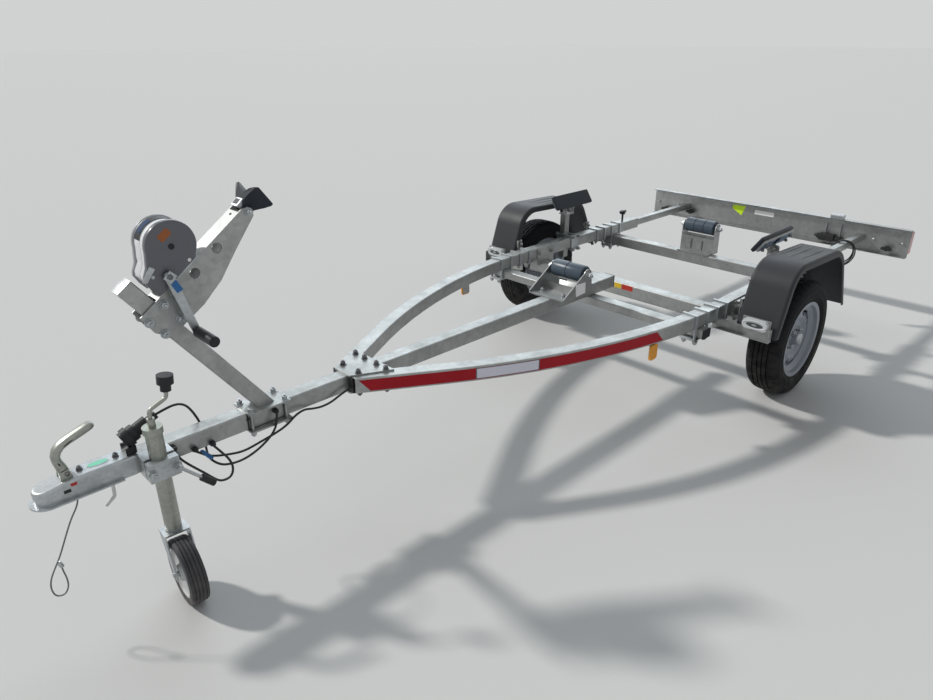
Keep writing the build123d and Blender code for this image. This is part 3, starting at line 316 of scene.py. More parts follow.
def dust_group():
    """Pale road dust that gathers low down and in patches."""
    tree, inlet, outlet = new_tree(
        "road dust", "ShaderNodeTree",
        [("Vector", "Vector", (0, 0, 0)), ("Color", "Color", (0.1, 0.1, 0.1, 1)),
         ("Dust", "Color", (0.42, 0.38, 0.32, 1)), ("Top", "Float", 0.35), ("Amount", "Float", 0.35)],
        [("Color", "Color")])
    height = add_node(tree, "ShaderNodeSeparateXYZ", {"Vector": inlet["Vector"]}).outputs["Z"]
    fall = maths(tree, "SUBTRACT", 1.0, maths(tree, "DIVIDE", height, inlet["Top"]), clamp=True)
    patches = ranged(tree, noise(tree, inlet["Vector"], 24.0, 6.0), 0.35, 0.75, 0.0, 1.0)
    much = maths(tree, "MULTIPLY", maths(tree, "MULTIPLY", fall, patches), inlet["Amount"], clamp=True)
    feed(tree, outlet, {"Color": mixed(tree, much, inlet["Color"], inlet["Dust"])})
    return tree


MOTTLE = mottle_group()
GRAIN = grain_group()
DUST = dust_group()


def new_material(name):
    mat = bpy.data.materials.new(name)
    mat.use_nodes = True
    return mat, mat.node_tree, mat.node_tree.nodes["Principled BSDF"].inputs


def layered_finish(name, surface, values, dust, dust_top, bump, bump_depth, constants):
    """One surface group with road dust over it, a fine bump and the shader's own constants."""
    mat, tree, shader = new_material(name)
    place = add_node(tree, "ShaderNodeTexCoord").outputs["Object"]
    skin = add_node(tree, "ShaderNodeGroup", {"Vector": place, **values}, node_tree=surface).outputs
    over = {"Vector": place, "Color": skin["Color"], "Amount": dust, "Top": dust_top}
    dusty = add_node(tree, "ShaderNodeGroup", over, node_tree=DUST).outputs
    relief = add_node(tree, "ShaderNodeBump", {"Strength": bump, "Distance": bump_depth,
                                               "Height": skin["Height"]})
    feed(tree, shader, {"Base Color": dusty["Color"], "Roughness": skin["Roughness"],
                        "Normal": relief.outputs["Normal"], **constants})
    return mat


ZINC_DUST = 0.18
ZINC_DUST_TOP = 0.6
ZINC_RELIEF = 0.0006
GRAIN_RELIEF = 0.0004
FOIL_GRAIN = 500.0


def zinc_finish(name, dark, light, size, metallic=0.85, bump=0.15):
    """Plated steel. Size is the spangle's, in patches per metre."""
    values = {"Dark": (*dark, 1), "Light": (*light, 1), "Size": size}
    return layered_finish(name, MOTTLE, values, ZINC_DUST, ZINC_DUST_TOP, bump, ZINC_RELIEF,
                          {"Metallic": metallic})


def moulded_finish(name, color, rough=0.5, grain=900.0, spread=0.35, bump=0.25, dust=0.2, dust_top=0.5,
                   coat=0.0, specular=0.3):
    """Plastic, rubber, paint or foil. Grain is in specks per metre, dust_top is a height in metres."""
    values = {"Color": (*color, 1), "Roughness": rough, "Grain": grain, "Spread": spread}
    return layered_finish(name, GRAIN, values, dust, dust_top, bump, GRAIN_RELIEF,
                          {"Coat Weight": coat, "Specular IOR Level": specular})


def foil(name, color, rough=0.4, spread=0.1):
    return moulded_finish(name, color, rough, FOIL_GRAIN, spread, 0.05, 0.1, 0.6)


MOULDED_ROWS = {
    # name, colour, roughness, grain, spread, bump, dust, dust top, coat, specular
    "black_plastic": ("black plastic", (0.022, 0.022, 0.025), 0.45, 1200.0),
    "guard_plastic": ("grained guard plastic", (0.033, 0.035, 0.04), 0.5, 1500.0, 0.3, 0.3, 0.12),
    "tyre_rubber": ("tyre rubber", (0.013, 0.013, 0.015), 0.75, 1600.0, 0.5, 0.35, 0.16, 0.4, 0.0, 0.15),
    "rubber_black": ("pad rubber", (0.018, 0.024, 0.034), 0.46, 1200.0, 0.4, 0.25),
    "roller_rubber": ("roller rubber", (0.075, 0.1, 0.13), 0.32, 1400.0, 0.3, 0.15, 0.15),
    "rim_steel": ("silver wheel paint", (0.3, 0.33, 0.38), 0.34, 700.0, 0.3, 0.08, 0.25, 0.6, 0.2),
    "winch_grey": ("dark grey winch paint", (0.135, 0.14, 0.158), 0.34, 900.0, 0.25, 0.1, 0.1, 0.5, 0.3),
    "lamp_red": ("red lamp lens", (0.42, 0.012, 0.012), 0.15, 500.0, 0.15, 0.05, 0.1, 0.5, 0.6),
    "lamp_white": ("clear lamp lens", (0.62, 0.64, 0.66), 0.16, 500.0, 0.2, 0.05, 0.1, 0.5, 0.6),
    "reflector_orange": ("orange reflector", (0.88, 0.36, 0.025), 0.2, 500.0, 0.2, 0.05, 0.1, 0.5, 0.5),
    "strap_grey": ("woven strap", (0.4, 0.4, 0.41), 0.8, 1400.0, 0.3, 0.5),
    "hook_white": ("white coated hook", (0.72, 0.72, 0.7), 0.4, 800.0, 0.15, 0.1),
    "wheel_grey": ("grey black solid rubber", (0.05, 0.05, 0.056), 0.6, 1200.0, 0.4, 0.3, 0.4, 0.25),
}
FINISHES = {slot_name: moulded_finish(*row) for slot_name, row in MOULDED_ROWS.items()}
FINISHES["galvanised"] = zinc_finish("galvanised steel", (0.28, 0.288, 0.285), (0.44, 0.455, 0.45), 60.0)
FINISHES["zinc_bright"] = zinc_finish("bright zinc plate", (0.34, 0.36, 0.375), (0.54, 0.57, 0.59), 130.0,
                                      0.92, 0.08)
ZINC = FINISHES["zinc_bright"]
GALV = FINISHES["galvanised"]
PLAIN_BLACK = FINISHES["black_plastic"]

# Extra finishes: the coupling handle and the jack's tube have a darker, yellowed plating
OLIVE_ZINC = zinc_finish("yellowed zinc plate", (0.25, 0.262, 0.235), (0.42, 0.435, 0.395), 130.0, 0.92, 0.08)
BLUE_PLATE = zinc_finish("blued zinc plate", (0.14, 0.2, 0.3), (0.26, 0.35, 0.48), 90.0, 0.85, 0.08)
BOLT_DARK = zinc_finish("dark zinc bolts", (0.09, 0.09, 0.1), (0.22, 0.22, 0.23), 200.0, 0.8, 0.05)
STRIPE_RED = moulded_finish("dark red foil", (0.4, 0.006, 0.016), 0.4, 500.0, 0.25, 0.05, 0.05, 0.6, 0.0, 0.2)
LABEL_LILAC = moulded_finish("pale lilac foil", (0.74, 0.73, 0.82), 0.35, 500.0, 0.15, 0.05, 0.08, 0.6, 0.1)
LABEL_WHITE = foil("white foil", (0.95, 0.95, 0.93))
LABEL_LIME = foil("lime foil", (0.7, 1.0, 0.03))
LABEL_YELLOW = foil("yellow foil", (0.75, 0.5, 0.03))
LABEL_RED = foil("red foil", (0.5, 0.03, 0.02))
LABEL_GREEN = foil("mint foil", (0.22, 0.72, 0.5), 0.35)
LABEL_BROWN = foil("orange brown foil", (0.36, 0.115, 0.035), 0.45, 0.3)
LABEL_BLUE = foil("blue foil", (0.035, 0.15, 0.38), spread=0.2)
STRAP_BLUE = moulded_finish("dark blue strap weave", (0.011, 0.045, 0.12), 0.7, 1400.0, 0.4, 0.5, 0.1, 0.6)
PALE_HUB = moulded_finish("pale hub plastic", (0.55, 0.56, 0.56), 0.45, 900.0, 0.2, 0.1, 0.25, 0.2)
SHELL_DULL = moulded_finish("grey winch cover", (0.5, 0.51, 0.52), 0.4, 900.0, 0.2, 0.1, 0.08)
SHELL_GREY = moulded_finish("light grey winch shell", (0.86, 0.87, 0.88), 0.38, 900.0, 0.2, 0.1, 0.08)
LAMP_DARK = moulded_finish("smoked lamp ring", (0.06, 0.065, 0.07), 0.2, 600.0, 0.2, 0.05, 0.1, 0.5, 0.5)

for part in frame["record"]["subparts"]:
    node = frame["nodes"][part["node"]]
    if not node.material_slots:
        node.data.materials.append(None)
    for place in node.material_slots:
        place.material = OLIVE_ZINC if part["node"] == "jack_tube" else FINISHES[part["material_slot"]]


def set_camera():
    data = bpy.data.cameras.new("camera")
    cam = link(bpy.data.objects.new("camera", data))
    toward = Vector((math.cos(CAMERA_DIP) * math.cos(CAMERA_AZIMUTH),
                     math.cos(CAMERA_DIP) * math.sin(CAMERA_AZIMUTH), -math.sin(CAMERA_DIP)))
    level = Vector((math.sin(CAMERA_AZIMUTH), -math.cos(CAMERA_AZIMUTH), 0.0))
    upward = level.cross(toward)
    right = math.cos(CAMERA_ROLL) * level + math.sin(CAMERA_ROLL) * upward
    up = -math.sin(CAMERA_ROLL) * level + math.cos(CAMERA_ROLL) * upward
    turn = Matrix((right, up, -toward)).transposed()
    cam.matrix_world = Matrix.Translation(at(*CAMERA_PLACE)) @ turn.to_4x4()
    data.sensor_width = SENSOR_MM
    data.lens = CAMERA_FOCAL_PX / PHOTO_WIDTH * SENSOR_MM
    data.clip_start = 0.05
    data.clip_end = 200.0
    bpy.context.scene.camera = cam


set_camera()

# Cords: the same route points as the part's source
MAIN_ROUTE = [
    (2612, 4, 592), (2574, 2, 600), (2540, -10, 594), (2512, -26, 572), (2490, -40, 534), (2472, -44, 486),
    (2470, -38, 440), (2482, -8, 412), (2492, 26, 396), (2470, 52, 374), (2434, 50, 360), (2391, 44, 353),
    (2347, 44, 363), (2308, 50, 387), (2282, 57, 414), (2265, 58, 446), (2256, 46, 474),
]
LOOP_ROUTE = [
    (2593, 44, 478), (2589, 47, 454), (2568, 52, 424), (2544, 57, 396), (2520, 60, 368), (2500, 60, 342),
    (2478, 59, 320), (2446, 62, 322), (2434, 63, 352), (2442, 61, 388), (2462, 53, 420), (2477, 45, 444),
]
REAR_ROUTE = [
    (2532, 42, 446), (2509, 40, 424), (2480, 34, 402), (2430, 32, 385), (2379, 32, 374), (2317, 32, 384),
    (2267, 46, 402), (2229, 57, 422), (2196, 58, 446), (2158, 51, 450), (2122, 45, 436), (2084, 44, 429),
    (2044, 45, 434), (2010, 48, 450), (RAIL_NOSE_X + 37.5, 50, 462),
]
WIRE_ROUTE = [
    (2868, 40, 443), (2872, 42, 426), (2897, 44, 393), (2922, 45, 345), (2940, 45, 308), (2953, 45, 284),
    (2970, 45, 258), (2984, 45, 233), (2990, 45, 204), (2984, 45, 174), (2962, 45, 166), (2948, 45, 186),
    (2946, 45, 216), (2950, 45, 244), (2951, 45, 268),
]


def nurbs_cord(name, points, radius, finish):
    curve = bpy.data.curves.new(name, "CURVE")
    curve.dimensions = "3D"
    curve.resolution_u = 12
    curve.bevel_depth = radius * MM
    curve.bevel_resolution = 4
    curve.use_fill_caps = True
    spline = curve.splines.new("NURBS")
    spline.points.add(len(points) - 1)
    for point, place in zip(spline.points, points):
        point.co = (*at(*place), 1.0)
    spline.order_u = 3
    spline.use_endpoint_u = True
    curve.materials.append(finish)
    return link(bpy.data.objects.new(name, curve))


CABLE_R = 3.8
WIRE_R = 2.2
CORD_ROWS = [
    # piece, node, route, radius, slot, finish, length as a share of the route's runs, far end, stiffness
    ("main_cord", "main_cable", MAIN_ROUTE, CABLE_R, "black_plastic", PLAIN_BLACK, 0.95, "object", "medium"),
    ("loop_cord", "loop_cable", LOOP_ROUTE, CABLE_R, "black_plastic", PLAIN_BLACK, 0.94, "object", "medium"),
    ("rear_cord", "rear_cable", REAR_ROUTE, CABLE_R, "black_plastic", PLAIN_BLACK, 0.98, "object", "medium"),
    ("wire_cord", "safety_wire", WIRE_ROUTE, WIRE_R, "zinc_bright", BOLT_DARK, 0.96, "bare", "stiff"),
]
for name, node, route, radius, slot_name, finish, share, far_end, stiffness in CORD_ROWS:
    piece = nurbs_cord(name, route, radius, finish)
    settle(piece, "chassis", [node])

# Spare cable wound over the left board arm: three turns in one line, each a little off the last
COIL_X = -1119.0
COIL_TURN = math.radians(42.0)
ARM_HALF = 20.0
COIL_ARM_TOP = CHASSIS_MID + ARM_HALF
COIL_RADII = (70.0, 64.0, 74.0)
COIL_PER_TURN = 14
COIL_STEP = 13.0
COIL_SINK = 0.6
COIL_WIDEN = 1.05


def coil_route():
    """Points a little outside the turns, because the smooth line cuts inside its points."""
    points = []
    edge = ARM_HALF / math.cos(COIL_TURN)
    last = len(COIL_RADII) - 1
    for k in range(COIL_PER_TURN * len(COIL_RADII) + 1):
        whole = k / COIL_PER_TURN
        ring = min(int(whole), last)
        radius = COIL_RADII[ring]
        if ring < last:
            radius += (COIL_RADII[ring + 1] - radius) * max(0.0, whole - ring - 0.5) * 2
        low = COIL_ARM_TOP - math.sqrt((radius - CABLE_R) ** 2 - edge ** 2) - COIL_SINK
        turn = 2 * math.pi * whole - math.pi / 2
        across = radius * COIL_WIDEN * math.cos(turn)
        x = COIL_X + COIL_STEP * (1.0 - whole * 2 / 3) - across * math.sin(COIL_TURN)
        y = RAIL_Y + across * math.cos(COIL_TURN)
        points.append((x, y, low + radius * COIL_WIDEN * math.sin(turn)))
    return points


coil_points = coil_route()
coil = nurbs_cord("coil_cord", coil_points, CABLE_R, PLAIN_BLACK)
settle(coil, "board_body", ["cable_coil"])


# Side rails' foil: a red band with slanted ends and a pale blank patch in the middle
FOIL_LOW = CHASSIS_LOW + 7
FOIL_HIGH = CHASSIS_TOP - 8
FOIL_STEP = 30
FOIL_ROWS = 6
FOIL_THICK = 0.3


def rail_face(along, side, out):
    """A place on a rail, along its length from the nose and out from its middle."""
    if along < RAIL_LEAD:
        turn = RAIL_TURN
        x = RAIL_NOSE_X - along * math.cos(turn)
        y = RAIL_NOSE_Y + along * math.sin(turn)
    else:
        turn = RAIL_TURN - (along - RAIL_LEAD) / RAIL_BEND_R
        x = RAIL_BEND_X + RAIL_BEND_R * math.sin(turn)
        y = RAIL_Y - RAIL_BEND_R * (1 - math.cos(turn))
    return x + out * math.sin(turn), (y + out * math.cos(turn)) * side


def foil_band(name, side, start, end, low, high, slant, finish, lift):
    """A thin band on the outer face of one rail. Its two ends lean by slant from low to high."""
    steps = int((end - start) / FOIL_STEP)
    bm = bmesh.new()
    grid = []
    for i in range(steps + 1):
        column = []
        for j in range(FOIL_ROWS + 1):
            up = j / FOIL_ROWS
            along = start + (end - start) * i / steps + slant * (up - 0.5)
            x, y = rail_face(along, side, TUBE / 2 + lift)
            column.append(bm.verts.new(at(x, y, low + (high - low) * up)))
        grid.append(column)
    for near, far in zip(grid, grid[1:]):
        for j in range(FOIL_ROWS):
            bm.faces.new((near[j], far[j], far[j + 1], near[j + 1]))
    bmesh.ops.recalc_face_normals(bm, faces=bm.faces)
    bmesh.ops.solidify(bm, geom=bm.faces[:], thickness=FOIL_THICK * MM)
    bmesh.ops.recalc_face_normals(bm, faces=bm.faces)
    mesh_piece(name, bm, [finish], "chassis", smooth=None)


for side, word in SIDES:
    foil_band("rail_stripe_" + word, side, 17, 1246, FOIL_LOW, FOIL_HIGH, -40, STRIPE_RED, 0.15)
    foil_band("rail_edge_" + word, side, 420, 669, FOIL_LOW + 2, FOIL_HIGH - 1, 0, BOLT_DARK, 0.5)
    foil_band("rail_patch_" + word, side, 424, 665, FOIL_LOW + 4, FOIL_HIGH - 3, 0, LABEL_LILAC, 0.9)


# Geometry tools: a hex bolt with washer on each point, and a slice repeated round an axle
HEX_R = 0.577
CHAMFER_R = 0.44
CHAMFER_HEIGHT = 0.1


def end_with_finish(tree, geometry, inlet, outlet):
    painted = add_node(tree, "GeometryNodeSetMaterial", {"Geometry": geometry, "Material": inlet["Finish"]})
    tree.links.new(painted.outputs["Geometry"], outlet["Geometry"])


def bolt_tree():
    """Sizes are shares of the width across flats, which each point carries with its axis."""
    tree, inlet, outlet = new_tree(
        "hex bolts", "GeometryNodeTree",
        [("Geometry", "Geometry", None), ("Head height", "Float", 0.6), ("Washer height", "Float", 0.14),
         ("Washer width", "Float", 1.5), ("Thread length", "Float", 0.22), ("Finish", "Material", None)],
        [("Geometry", "Geometry")])
    washer, head = inlet["Washer height"], inlet["Head height"]
    washer_r = maths(tree, "MULTIPLY", inlet["Washer width"], 0.5)
    head_top = maths(tree, "ADD", washer, head)
    solids = (
        # sides, lower radius, upper radius, height, bottom
        (24, washer_r, maths(tree, "SUBTRACT", washer_r, 0.04), washer, 0.0),
        (6, HEX_R, HEX_R, head, washer),
        (6, HEX_R, CHAMFER_R, CHAMFER_HEIGHT, head_top),
        (16, 0.27, 0.25, inlet["Thread length"], maths(tree, "ADD", head_top, CHAMFER_HEIGHT)),
    )
    join = add_node(tree, "GeometryNodeJoinGeometry")
    for sides, low_r, high_r, height, bottom in solids:
        cone = add_node(tree, "GeometryNodeMeshCone", {"Vertices": sides, "Radius Bottom": low_r,
                                                       "Radius Top": high_r, "Depth": height})
        lift = add_node(tree, "ShaderNodeCombineXYZ", {"Z": bottom})
        solid = add_node(tree, "GeometryNodeTransform", {"Geometry": cone.outputs["Mesh"],
                                                         "Translation": lift.outputs[0]})
        tree.links.new(solid.outputs["Geometry"], join.inputs["Geometry"])
    axis = add_node(tree, "GeometryNodeInputNamedAttribute", {"Name": "axis"}, data_type="FLOAT_VECTOR")
    width = add_node(tree, "GeometryNodeInputNamedAttribute", {"Name": "width"}, data_type="FLOAT")
    aim = add_node(tree, "FunctionNodeAlignRotationToVector", {"Vector": axis.outputs["Attribute"]}, axis="Z")
    place = add_node(tree, "GeometryNodeInstanceOnPoints", {
        "Points": inlet["Geometry"], "Instance": join.outputs["Geometry"],
        "Rotation": aim.outputs["Rotation"], "Scale": width.outputs["Attribute"]})
    real = add_node(tree, "GeometryNodeRealizeInstances", {"Geometry": place.outputs["Instances"]})
    end_with_finish(tree, real.outputs["Geometry"], inlet, outlet)
    return tree


def ring_tree():
    tree, inlet, outlet = new_tree(
        "slices round an axle", "GeometryNodeTree",
        [("Geometry", "Geometry", None), ("Count", "Int", 40), ("Centre", "Vector", (0, 0, 0)),
         ("Axle", "Vector", (0, 1, 0)), ("Join distance", "Float", 0.00003), ("Finish", "Material", None)],
        [("Geometry", "Geometry")])
    flip = add_node(tree, "ShaderNodeVectorMath", {0: inlet["Centre"], "Scale": -1.0}, operation="SCALE")
    home = add_node(tree, "GeometryNodeTransform", {"Geometry": inlet["Geometry"],
                                                    "Translation": flip.outputs["Vector"]})
    points = add_node(tree, "GeometryNodePoints", {"Count": inlet["Count"]})
    index = add_node(tree, "GeometryNodeInputIndex")
    step = maths(tree, "DIVIDE", 2 * math.pi, inlet["Count"])
    turn = add_node(tree, "FunctionNodeAxisAngleToRotation", {
        "Axis": inlet["Axle"], "Angle": maths(tree, "MULTIPLY", index.outputs[0], step)})
    place = add_node(tree, "GeometryNodeInstanceOnPoints", {
        "Points": points.outputs[0], "Instance": home.outputs["Geometry"],
        "Rotation": turn.outputs["Rotation"]})
    real = add_node(tree, "GeometryNodeRealizeInstances", {"Geometry": place.outputs["Instances"]})
    back = add_node(tree, "GeometryNodeTransform", {"Geometry": real.outputs["Geometry"],
                                                    "Translation": inlet["Centre"]})
    merge = add_node(tree, "GeometryNodeMergeByDistance", {"Geometry": back.outputs["Geometry"],
                                                           "Distance": inlet["Join distance"]})
    end_with_finish(tree, merge.outputs["Geometry"], inlet, outlet)
    return tree


BOLT_TOOL = bolt_tree()
RING_TOOL = ring_tree()


def tooled_piece(name, mesh, tool, values, body, replaced=()):
    """Runs a geometry tool on a mesh and keeps the result as a plain piece."""
    obj = link(bpy.data.objects.new(name, mesh))
    modifier = obj.modifiers.new("tool", "NODES")
    modifier.node_group = tool
    for item in tool.interface.items_tree:
        if item.item_type == "SOCKET" and item.in_out == "INPUT" and item.name in values:
            modifier[item.identifier] = values[item.name]
    depsgraph = bpy.context.evaluated_depsgraph_get()
    made = bpy.data.meshes.new_from_object(obj.evaluated_get(depsgraph))
    obj.modifiers.remove(modifier)
    obj.data = made
    bm = bmesh.new()
    bm.from_mesh(made)
    bmesh.ops.recalc_face_normals(bm, faces=bm.faces)
    smooth_by_angle(bm, 30.0)
    bm.to_mesh(made)
    bm.free()
    settle(obj, body, replaced)


AXES = {"+x": (1, 0, 0), "-x": (-1, 0, 0), "+y": (0, 1, 0), "-y": (0, -1, 0), "+z": (0, 0, 1),
        "-z": (0, 0, -1)}


def bolts(name, rows, body, finish, mirrored=False):
    """Hex bolts from rows of x, y, z in mm, the way they point and the width across their flats in mm."""
    if mirrored:
        other = {"+y": "-y", "-y": "+y"}
        rows = rows + [(x, -y, z, other.get(way, way), width) for x, y, z, way, width in rows]
    mesh = bpy.data.meshes.new(name)
    mesh.from_pydata([tuple(at(x, y, z)) for x, y, z, way, width in rows], [], [])
    mesh.attributes.new("axis", "FLOAT_VECTOR", "POINT")
    mesh.attributes.new("width", "FLOAT", "POINT")
    for k, (x, y, z, way, width) in enumerate(rows):
        mesh.attributes["axis"].data[k].vector = AXES.get(way, way)
        mesh.attributes["width"].data[k].value = width * MM
    tooled_piece(name, mesh, BOLT_TOOL, {"Finish": finish}, body)


# Road tyres: one slice of the tread and side walls, repeated round the axle
TREAD_SLICES = 40
SLICE_STEPS = 6
CUT_STEP = 2
HALF_TYRE = TYRE_W / 2
TYRE_ROWS = [
    # radius, distance from the tyre's middle, depth of the cuts across the tread
    (TYRE_R, 0, 0), (TYRE_R, 6, 0), (TYRE_R, 6.2, 0), (TYRE_R - 7, 7.2, 0), (TYRE_R - 7, 12.2, 0),
    (TYRE_R, 13.4, 0), (TYRE_R, 17, 3.5), (TYRE_R - 0.3, 27, 3.5), (TYRE_R - 0.4, 29.6, 0),
    (TYRE_R - 7.2, 30.6, 0), (TYRE_R - 7.2, 35, 0), (TYRE_R - 0.8, 36.2, 0), (TYRE_R - 1.2, 40, 4.5),
    (TYRE_R - 2.2, 47, 4.5), (TYRE_R - 4, 54, 4.5), (TYRE_R - 8, HALF_TYRE - 17, 4.0),
    (264, HALF_TYRE - 10, 2.0), (256, HALF_TYRE - 5.5, 0), (248, HALF_TYRE - 2.5, 0), (240, HALF_TYRE - 1, 0),
    (238.5, HALF_TYRE - 0.2, 0), (236.5, HALF_TYRE - 0.2, 0), (235, HALF_TYRE - 0.8, 0), (226, HALF_TYRE, 0),
    (212, HALF_TYRE, 0), (210, HALF_TYRE + 0.4, 0), (205, HALF_TYRE + 0.4, 0), (203, HALF_TYRE - 0.4, 0),
    (194, HALF_TYRE - 4.5, 0), (186, HALF_TYRE - 8, 0), (181.8, 66, 0), (181.0, 60, 0),
]


def road_tyre(side, word):
    rows = [(r, -off, cut) for r, off, cut in reversed(TYRE_ROWS[1:])] + TYRE_ROWS
    rings = []
    for k in range(SLICE_STEPS + 1):
        turn = 2 * math.pi * k / (SLICE_STEPS * TREAD_SLICES)
        ring = []
        for radius, off, cut in rows:
            # The two sides' cuts, and those of the inner and outer blocks, are half a slice apart
            apart = (off <= 0) + (12 < abs(off) < 29)
            if (k + apart * SLICE_STEPS // 2) % SLICE_STEPS == CUT_STEP:
                radius -= cut
            ring.append((radius * math.cos(turn), (WHEEL_Y + off) * side, WHEEL_Z + radius * math.sin(turn)))
        rings.append(ring)
    bm = bmesh.new()
    add_shell(bm, rings, caps=False)
    mesh = bpy.data.meshes.new("tread slice")
    bm.to_mesh(mesh)
    bm.free()
    values = {"Count": TREAD_SLICES, "Centre": at(0, WHEEL_Y * side, WHEEL_Z), "Axle": (0.0, -1.0, 0.0),
              "Finish": FINISHES["tyre_rubber"]}
    tooled_piece("road_tyre_" + word, mesh, RING_TOOL, values, "wheel_" + word + "_body",
                 ["tyre_" + word])


for side, word in SIDES:
    road_tyre(side, word)

# Small wheel of the jack: grooved solid tread on a pale hub
CASTOR_TURN = math.radians(86.0)
JACK_TRAIL = 60.0
JACK_WHEEL_R = 105.0
CASTOR_AXLE = (-math.sin(CASTOR_TURN), math.cos(CASTOR_TURN), 0.0)
JACK_WHEEL_PLACE = (JACK_X + JACK_TRAIL * math.cos(CASTOR_TURN), JACK_Y + JACK_TRAIL * math.sin(CASTOR_TURN),
                    FLOOR_Z + JACK_WHEEL_R)
JACK_GROOVES = (-16.0, -5.5, 5.5, 16.0)
JACK_TREAD = [(84, -27.5), (95, -28), (102, -26)]
for off in JACK_GROOVES:
    JACK_TREAD += [(104.9, off - 1.8), (102.2, off - 1.2), (102.2, off + 1.2), (104.9, off + 1.8)]
JACK_TREAD += [(102, 26), (95, 28), (84, 27.5), (80, 24), (80, -24)]
JACK_HUB = [(79.5, -24), (79.5, 24), (74, 24.5), (72, 18), (40, 14), (28, 16), (25, 26), (8.2, 26), (8.2, -26),
            (25, -26), (28, -16), (40, -14), (72, -18), (74, -24.5)]
bm = bmesh.new()
add_turned(bm, JACK_TREAD, JACK_WHEEL_PLACE, CASTOR_AXLE, 72, looped=True)
add_turned(bm, JACK_HUB, JACK_WHEEL_PLACE, CASTOR_AXLE, 72, 1, looped=True)
mesh_piece("jack_wheel_rubber", bm, [FINISHES["wheel_grey"], PALE_HUB], "jack_wheel_body",
           ["jack_wheel"], 32.0)


# Bolts and nuts, by the places that they hold. Sizes are widths across the flats
M12, M10, M8 = 19.0, 17.0, 13.0
PIN_HEX = 24.0
WHEEL_HEX = 20.0
GUSSET_BOLTS = ((1840, 92), (1840, 36), (1928, 47))
HEAD_BOLTS = ((33, -22, M12), (-30, -28, M12), (33, -86, M12), (-26, -84, M12), (388, -20, M10))
# From a rail's middle to the face of a plate on it, and from a tube's underside to its strap's nuts
RAIL_PLATE = TUBE / 2 + PLATE_T
STRAP_LOW = 11.0


def upright(points):
    """Bolts through the drawbar's plates: a head on the upper and a nut under the lower."""
    return [(x, y, z, way, M10) for x, y in points
            for z, way in ((CHASSIS_TOP + PLATE_T, "+z"), (CHASSIS_LOW - PLATE_T, "-z"))]


def across(x, z, outer, inner, width):
    """A bolt that goes through along Y: a head on one face and a nut on the other."""
    return [(x, outer, z, "+y", width), (x, inner, z, "-y", width)]


rows = upright([(x, y * side) for x, y in GUSSET_BOLTS for side in (1, -1)])
rows += [(x, 0, COUPLING_TOP, "+z", M8) for x in (2742, 2838)]
rows += [(x, -COUPLING_HALF, CHASSIS_MID, "-y", M10) for x in (2788, 2752)]
bolts("dark_bolts", rows, "chassis", BOLT_DARK)

rows = upright([(WINCH_FOOT_X + x, y) for x in (-61, 61) for y in (-37, 37)])
for u, v, width in HEAD_BOLTS:
    x, y, z = head_at(u, v, HEAD_FACE)
    rows += across(x, z, y, -y, width)
rows += [(x, 113, CHASSIS_MID, "+y", M12) for x in (2616, 2686)]
for x, z in (ROLLER_FRONT, ROLLER_REAR):
    rows += across(x, z, CHEEK_Y, -CHEEK_Y, PIN_HEX)
rows += [(x, 62, CHASSIS_LOW + 6, "+z", M10) for x in (-540, -526)]
rows += [(x, y, CHASSIS_TOP + 6, "+z", M10) for x in (700, 800) for y in (-62, 62)]
bolts("keel_bolts", rows, "chassis", ZINC)

rows = []
for x in (POST_X - 26, POST_X + 26):
    for z in (CHASSIS_LOW - 8, CHASSIS_TOP + 8):
        rows += across(x, z, POST_FACE_Y + 6, RAIL_Y - RAIL_PLATE, M10)
for x in (BEAM_X - 50, BEAM_X + 50):
    rows += across(x, CHASSIS_MID, RAIL_Y + RAIL_PLATE, RAIL_Y - RAIL_PLATE, M12)
for x, height in ((FRONT_CROSS_X, FRONT_CROSS_H), (REAR_CROSS_X, TUBE)):
    low = CHASSIS_LOW - height - STRAP_LOW
    rows += [(x + dx, RAIL_Y - 3 + dy, low, "-z", M10) for dx in (-42, 42) for dy in (-26, 26)]
rows += [(x, RAIL_Y + dy, CHASSIS_LOW - STRAP_LOW, "-z", M8) for x in (330, 410, -298, -372)
         for dy in (-22, 22)]
rows += [(POST_X + dx, PAD_PIVOT_Y, PAD_PIVOT_Z, way, M10) for dx, way in ((-34, "-x"), (34, "+x"))]
for x in (290, -335):
    rows += across(x, 510, 676, 655, M8)
bolts("frame_bolts", rows, "chassis", GALV, mirrored=True)

rows = [(BOARD_X, y, z, "+x", M8) for y, z in ((658, 467), (815, 468))]
bolts("board_bolts", rows, "board_body", ZINC, mirrored=True)

for side, word in SIDES:
    face = (WHEEL_Y + DISC_Y + 6) * side
    rows = [(x, face, z, "+y" if side > 0 else "-y", WHEEL_HEX)
            for x, z in arc((0, WHEEL_Z), STUD_R, 45, 315, 3)]
    bolts("wheel_nuts_" + word, rows, "wheel_" + word + "_body", ZINC)

# Tilting side pads: crowned rubber with a rolled edge, and ribbed plates behind it
PAD_TURN = math.radians(56.0)
PAD_CENTRE = (-81.0, 30.0)
PAD_HALVES = (159.0, 41.0)
PAD_CORNER = 7.0
# How far each ring of the pad lies inside its widest outline, and out from the pivot
PAD_SECTION = ((5, 31.8), (1.5, 32.4), (0, 34.5), (0, 46), (1.5, 49), (5, 50), (12, 49.4), (20, 50),
               (30, 50))


def pad_at(x, along, out, side):
    """A place on a pad that is tilted: along its width and out from its pivot."""
    y = PAD_PIVOT_Y + along * math.cos(PAD_TURN) - out * math.sin(PAD_TURN)
    z = PAD_PIVOT_Z + along * math.sin(PAD_TURN) + out * math.cos(PAD_TURN)
    return x, y * side, z


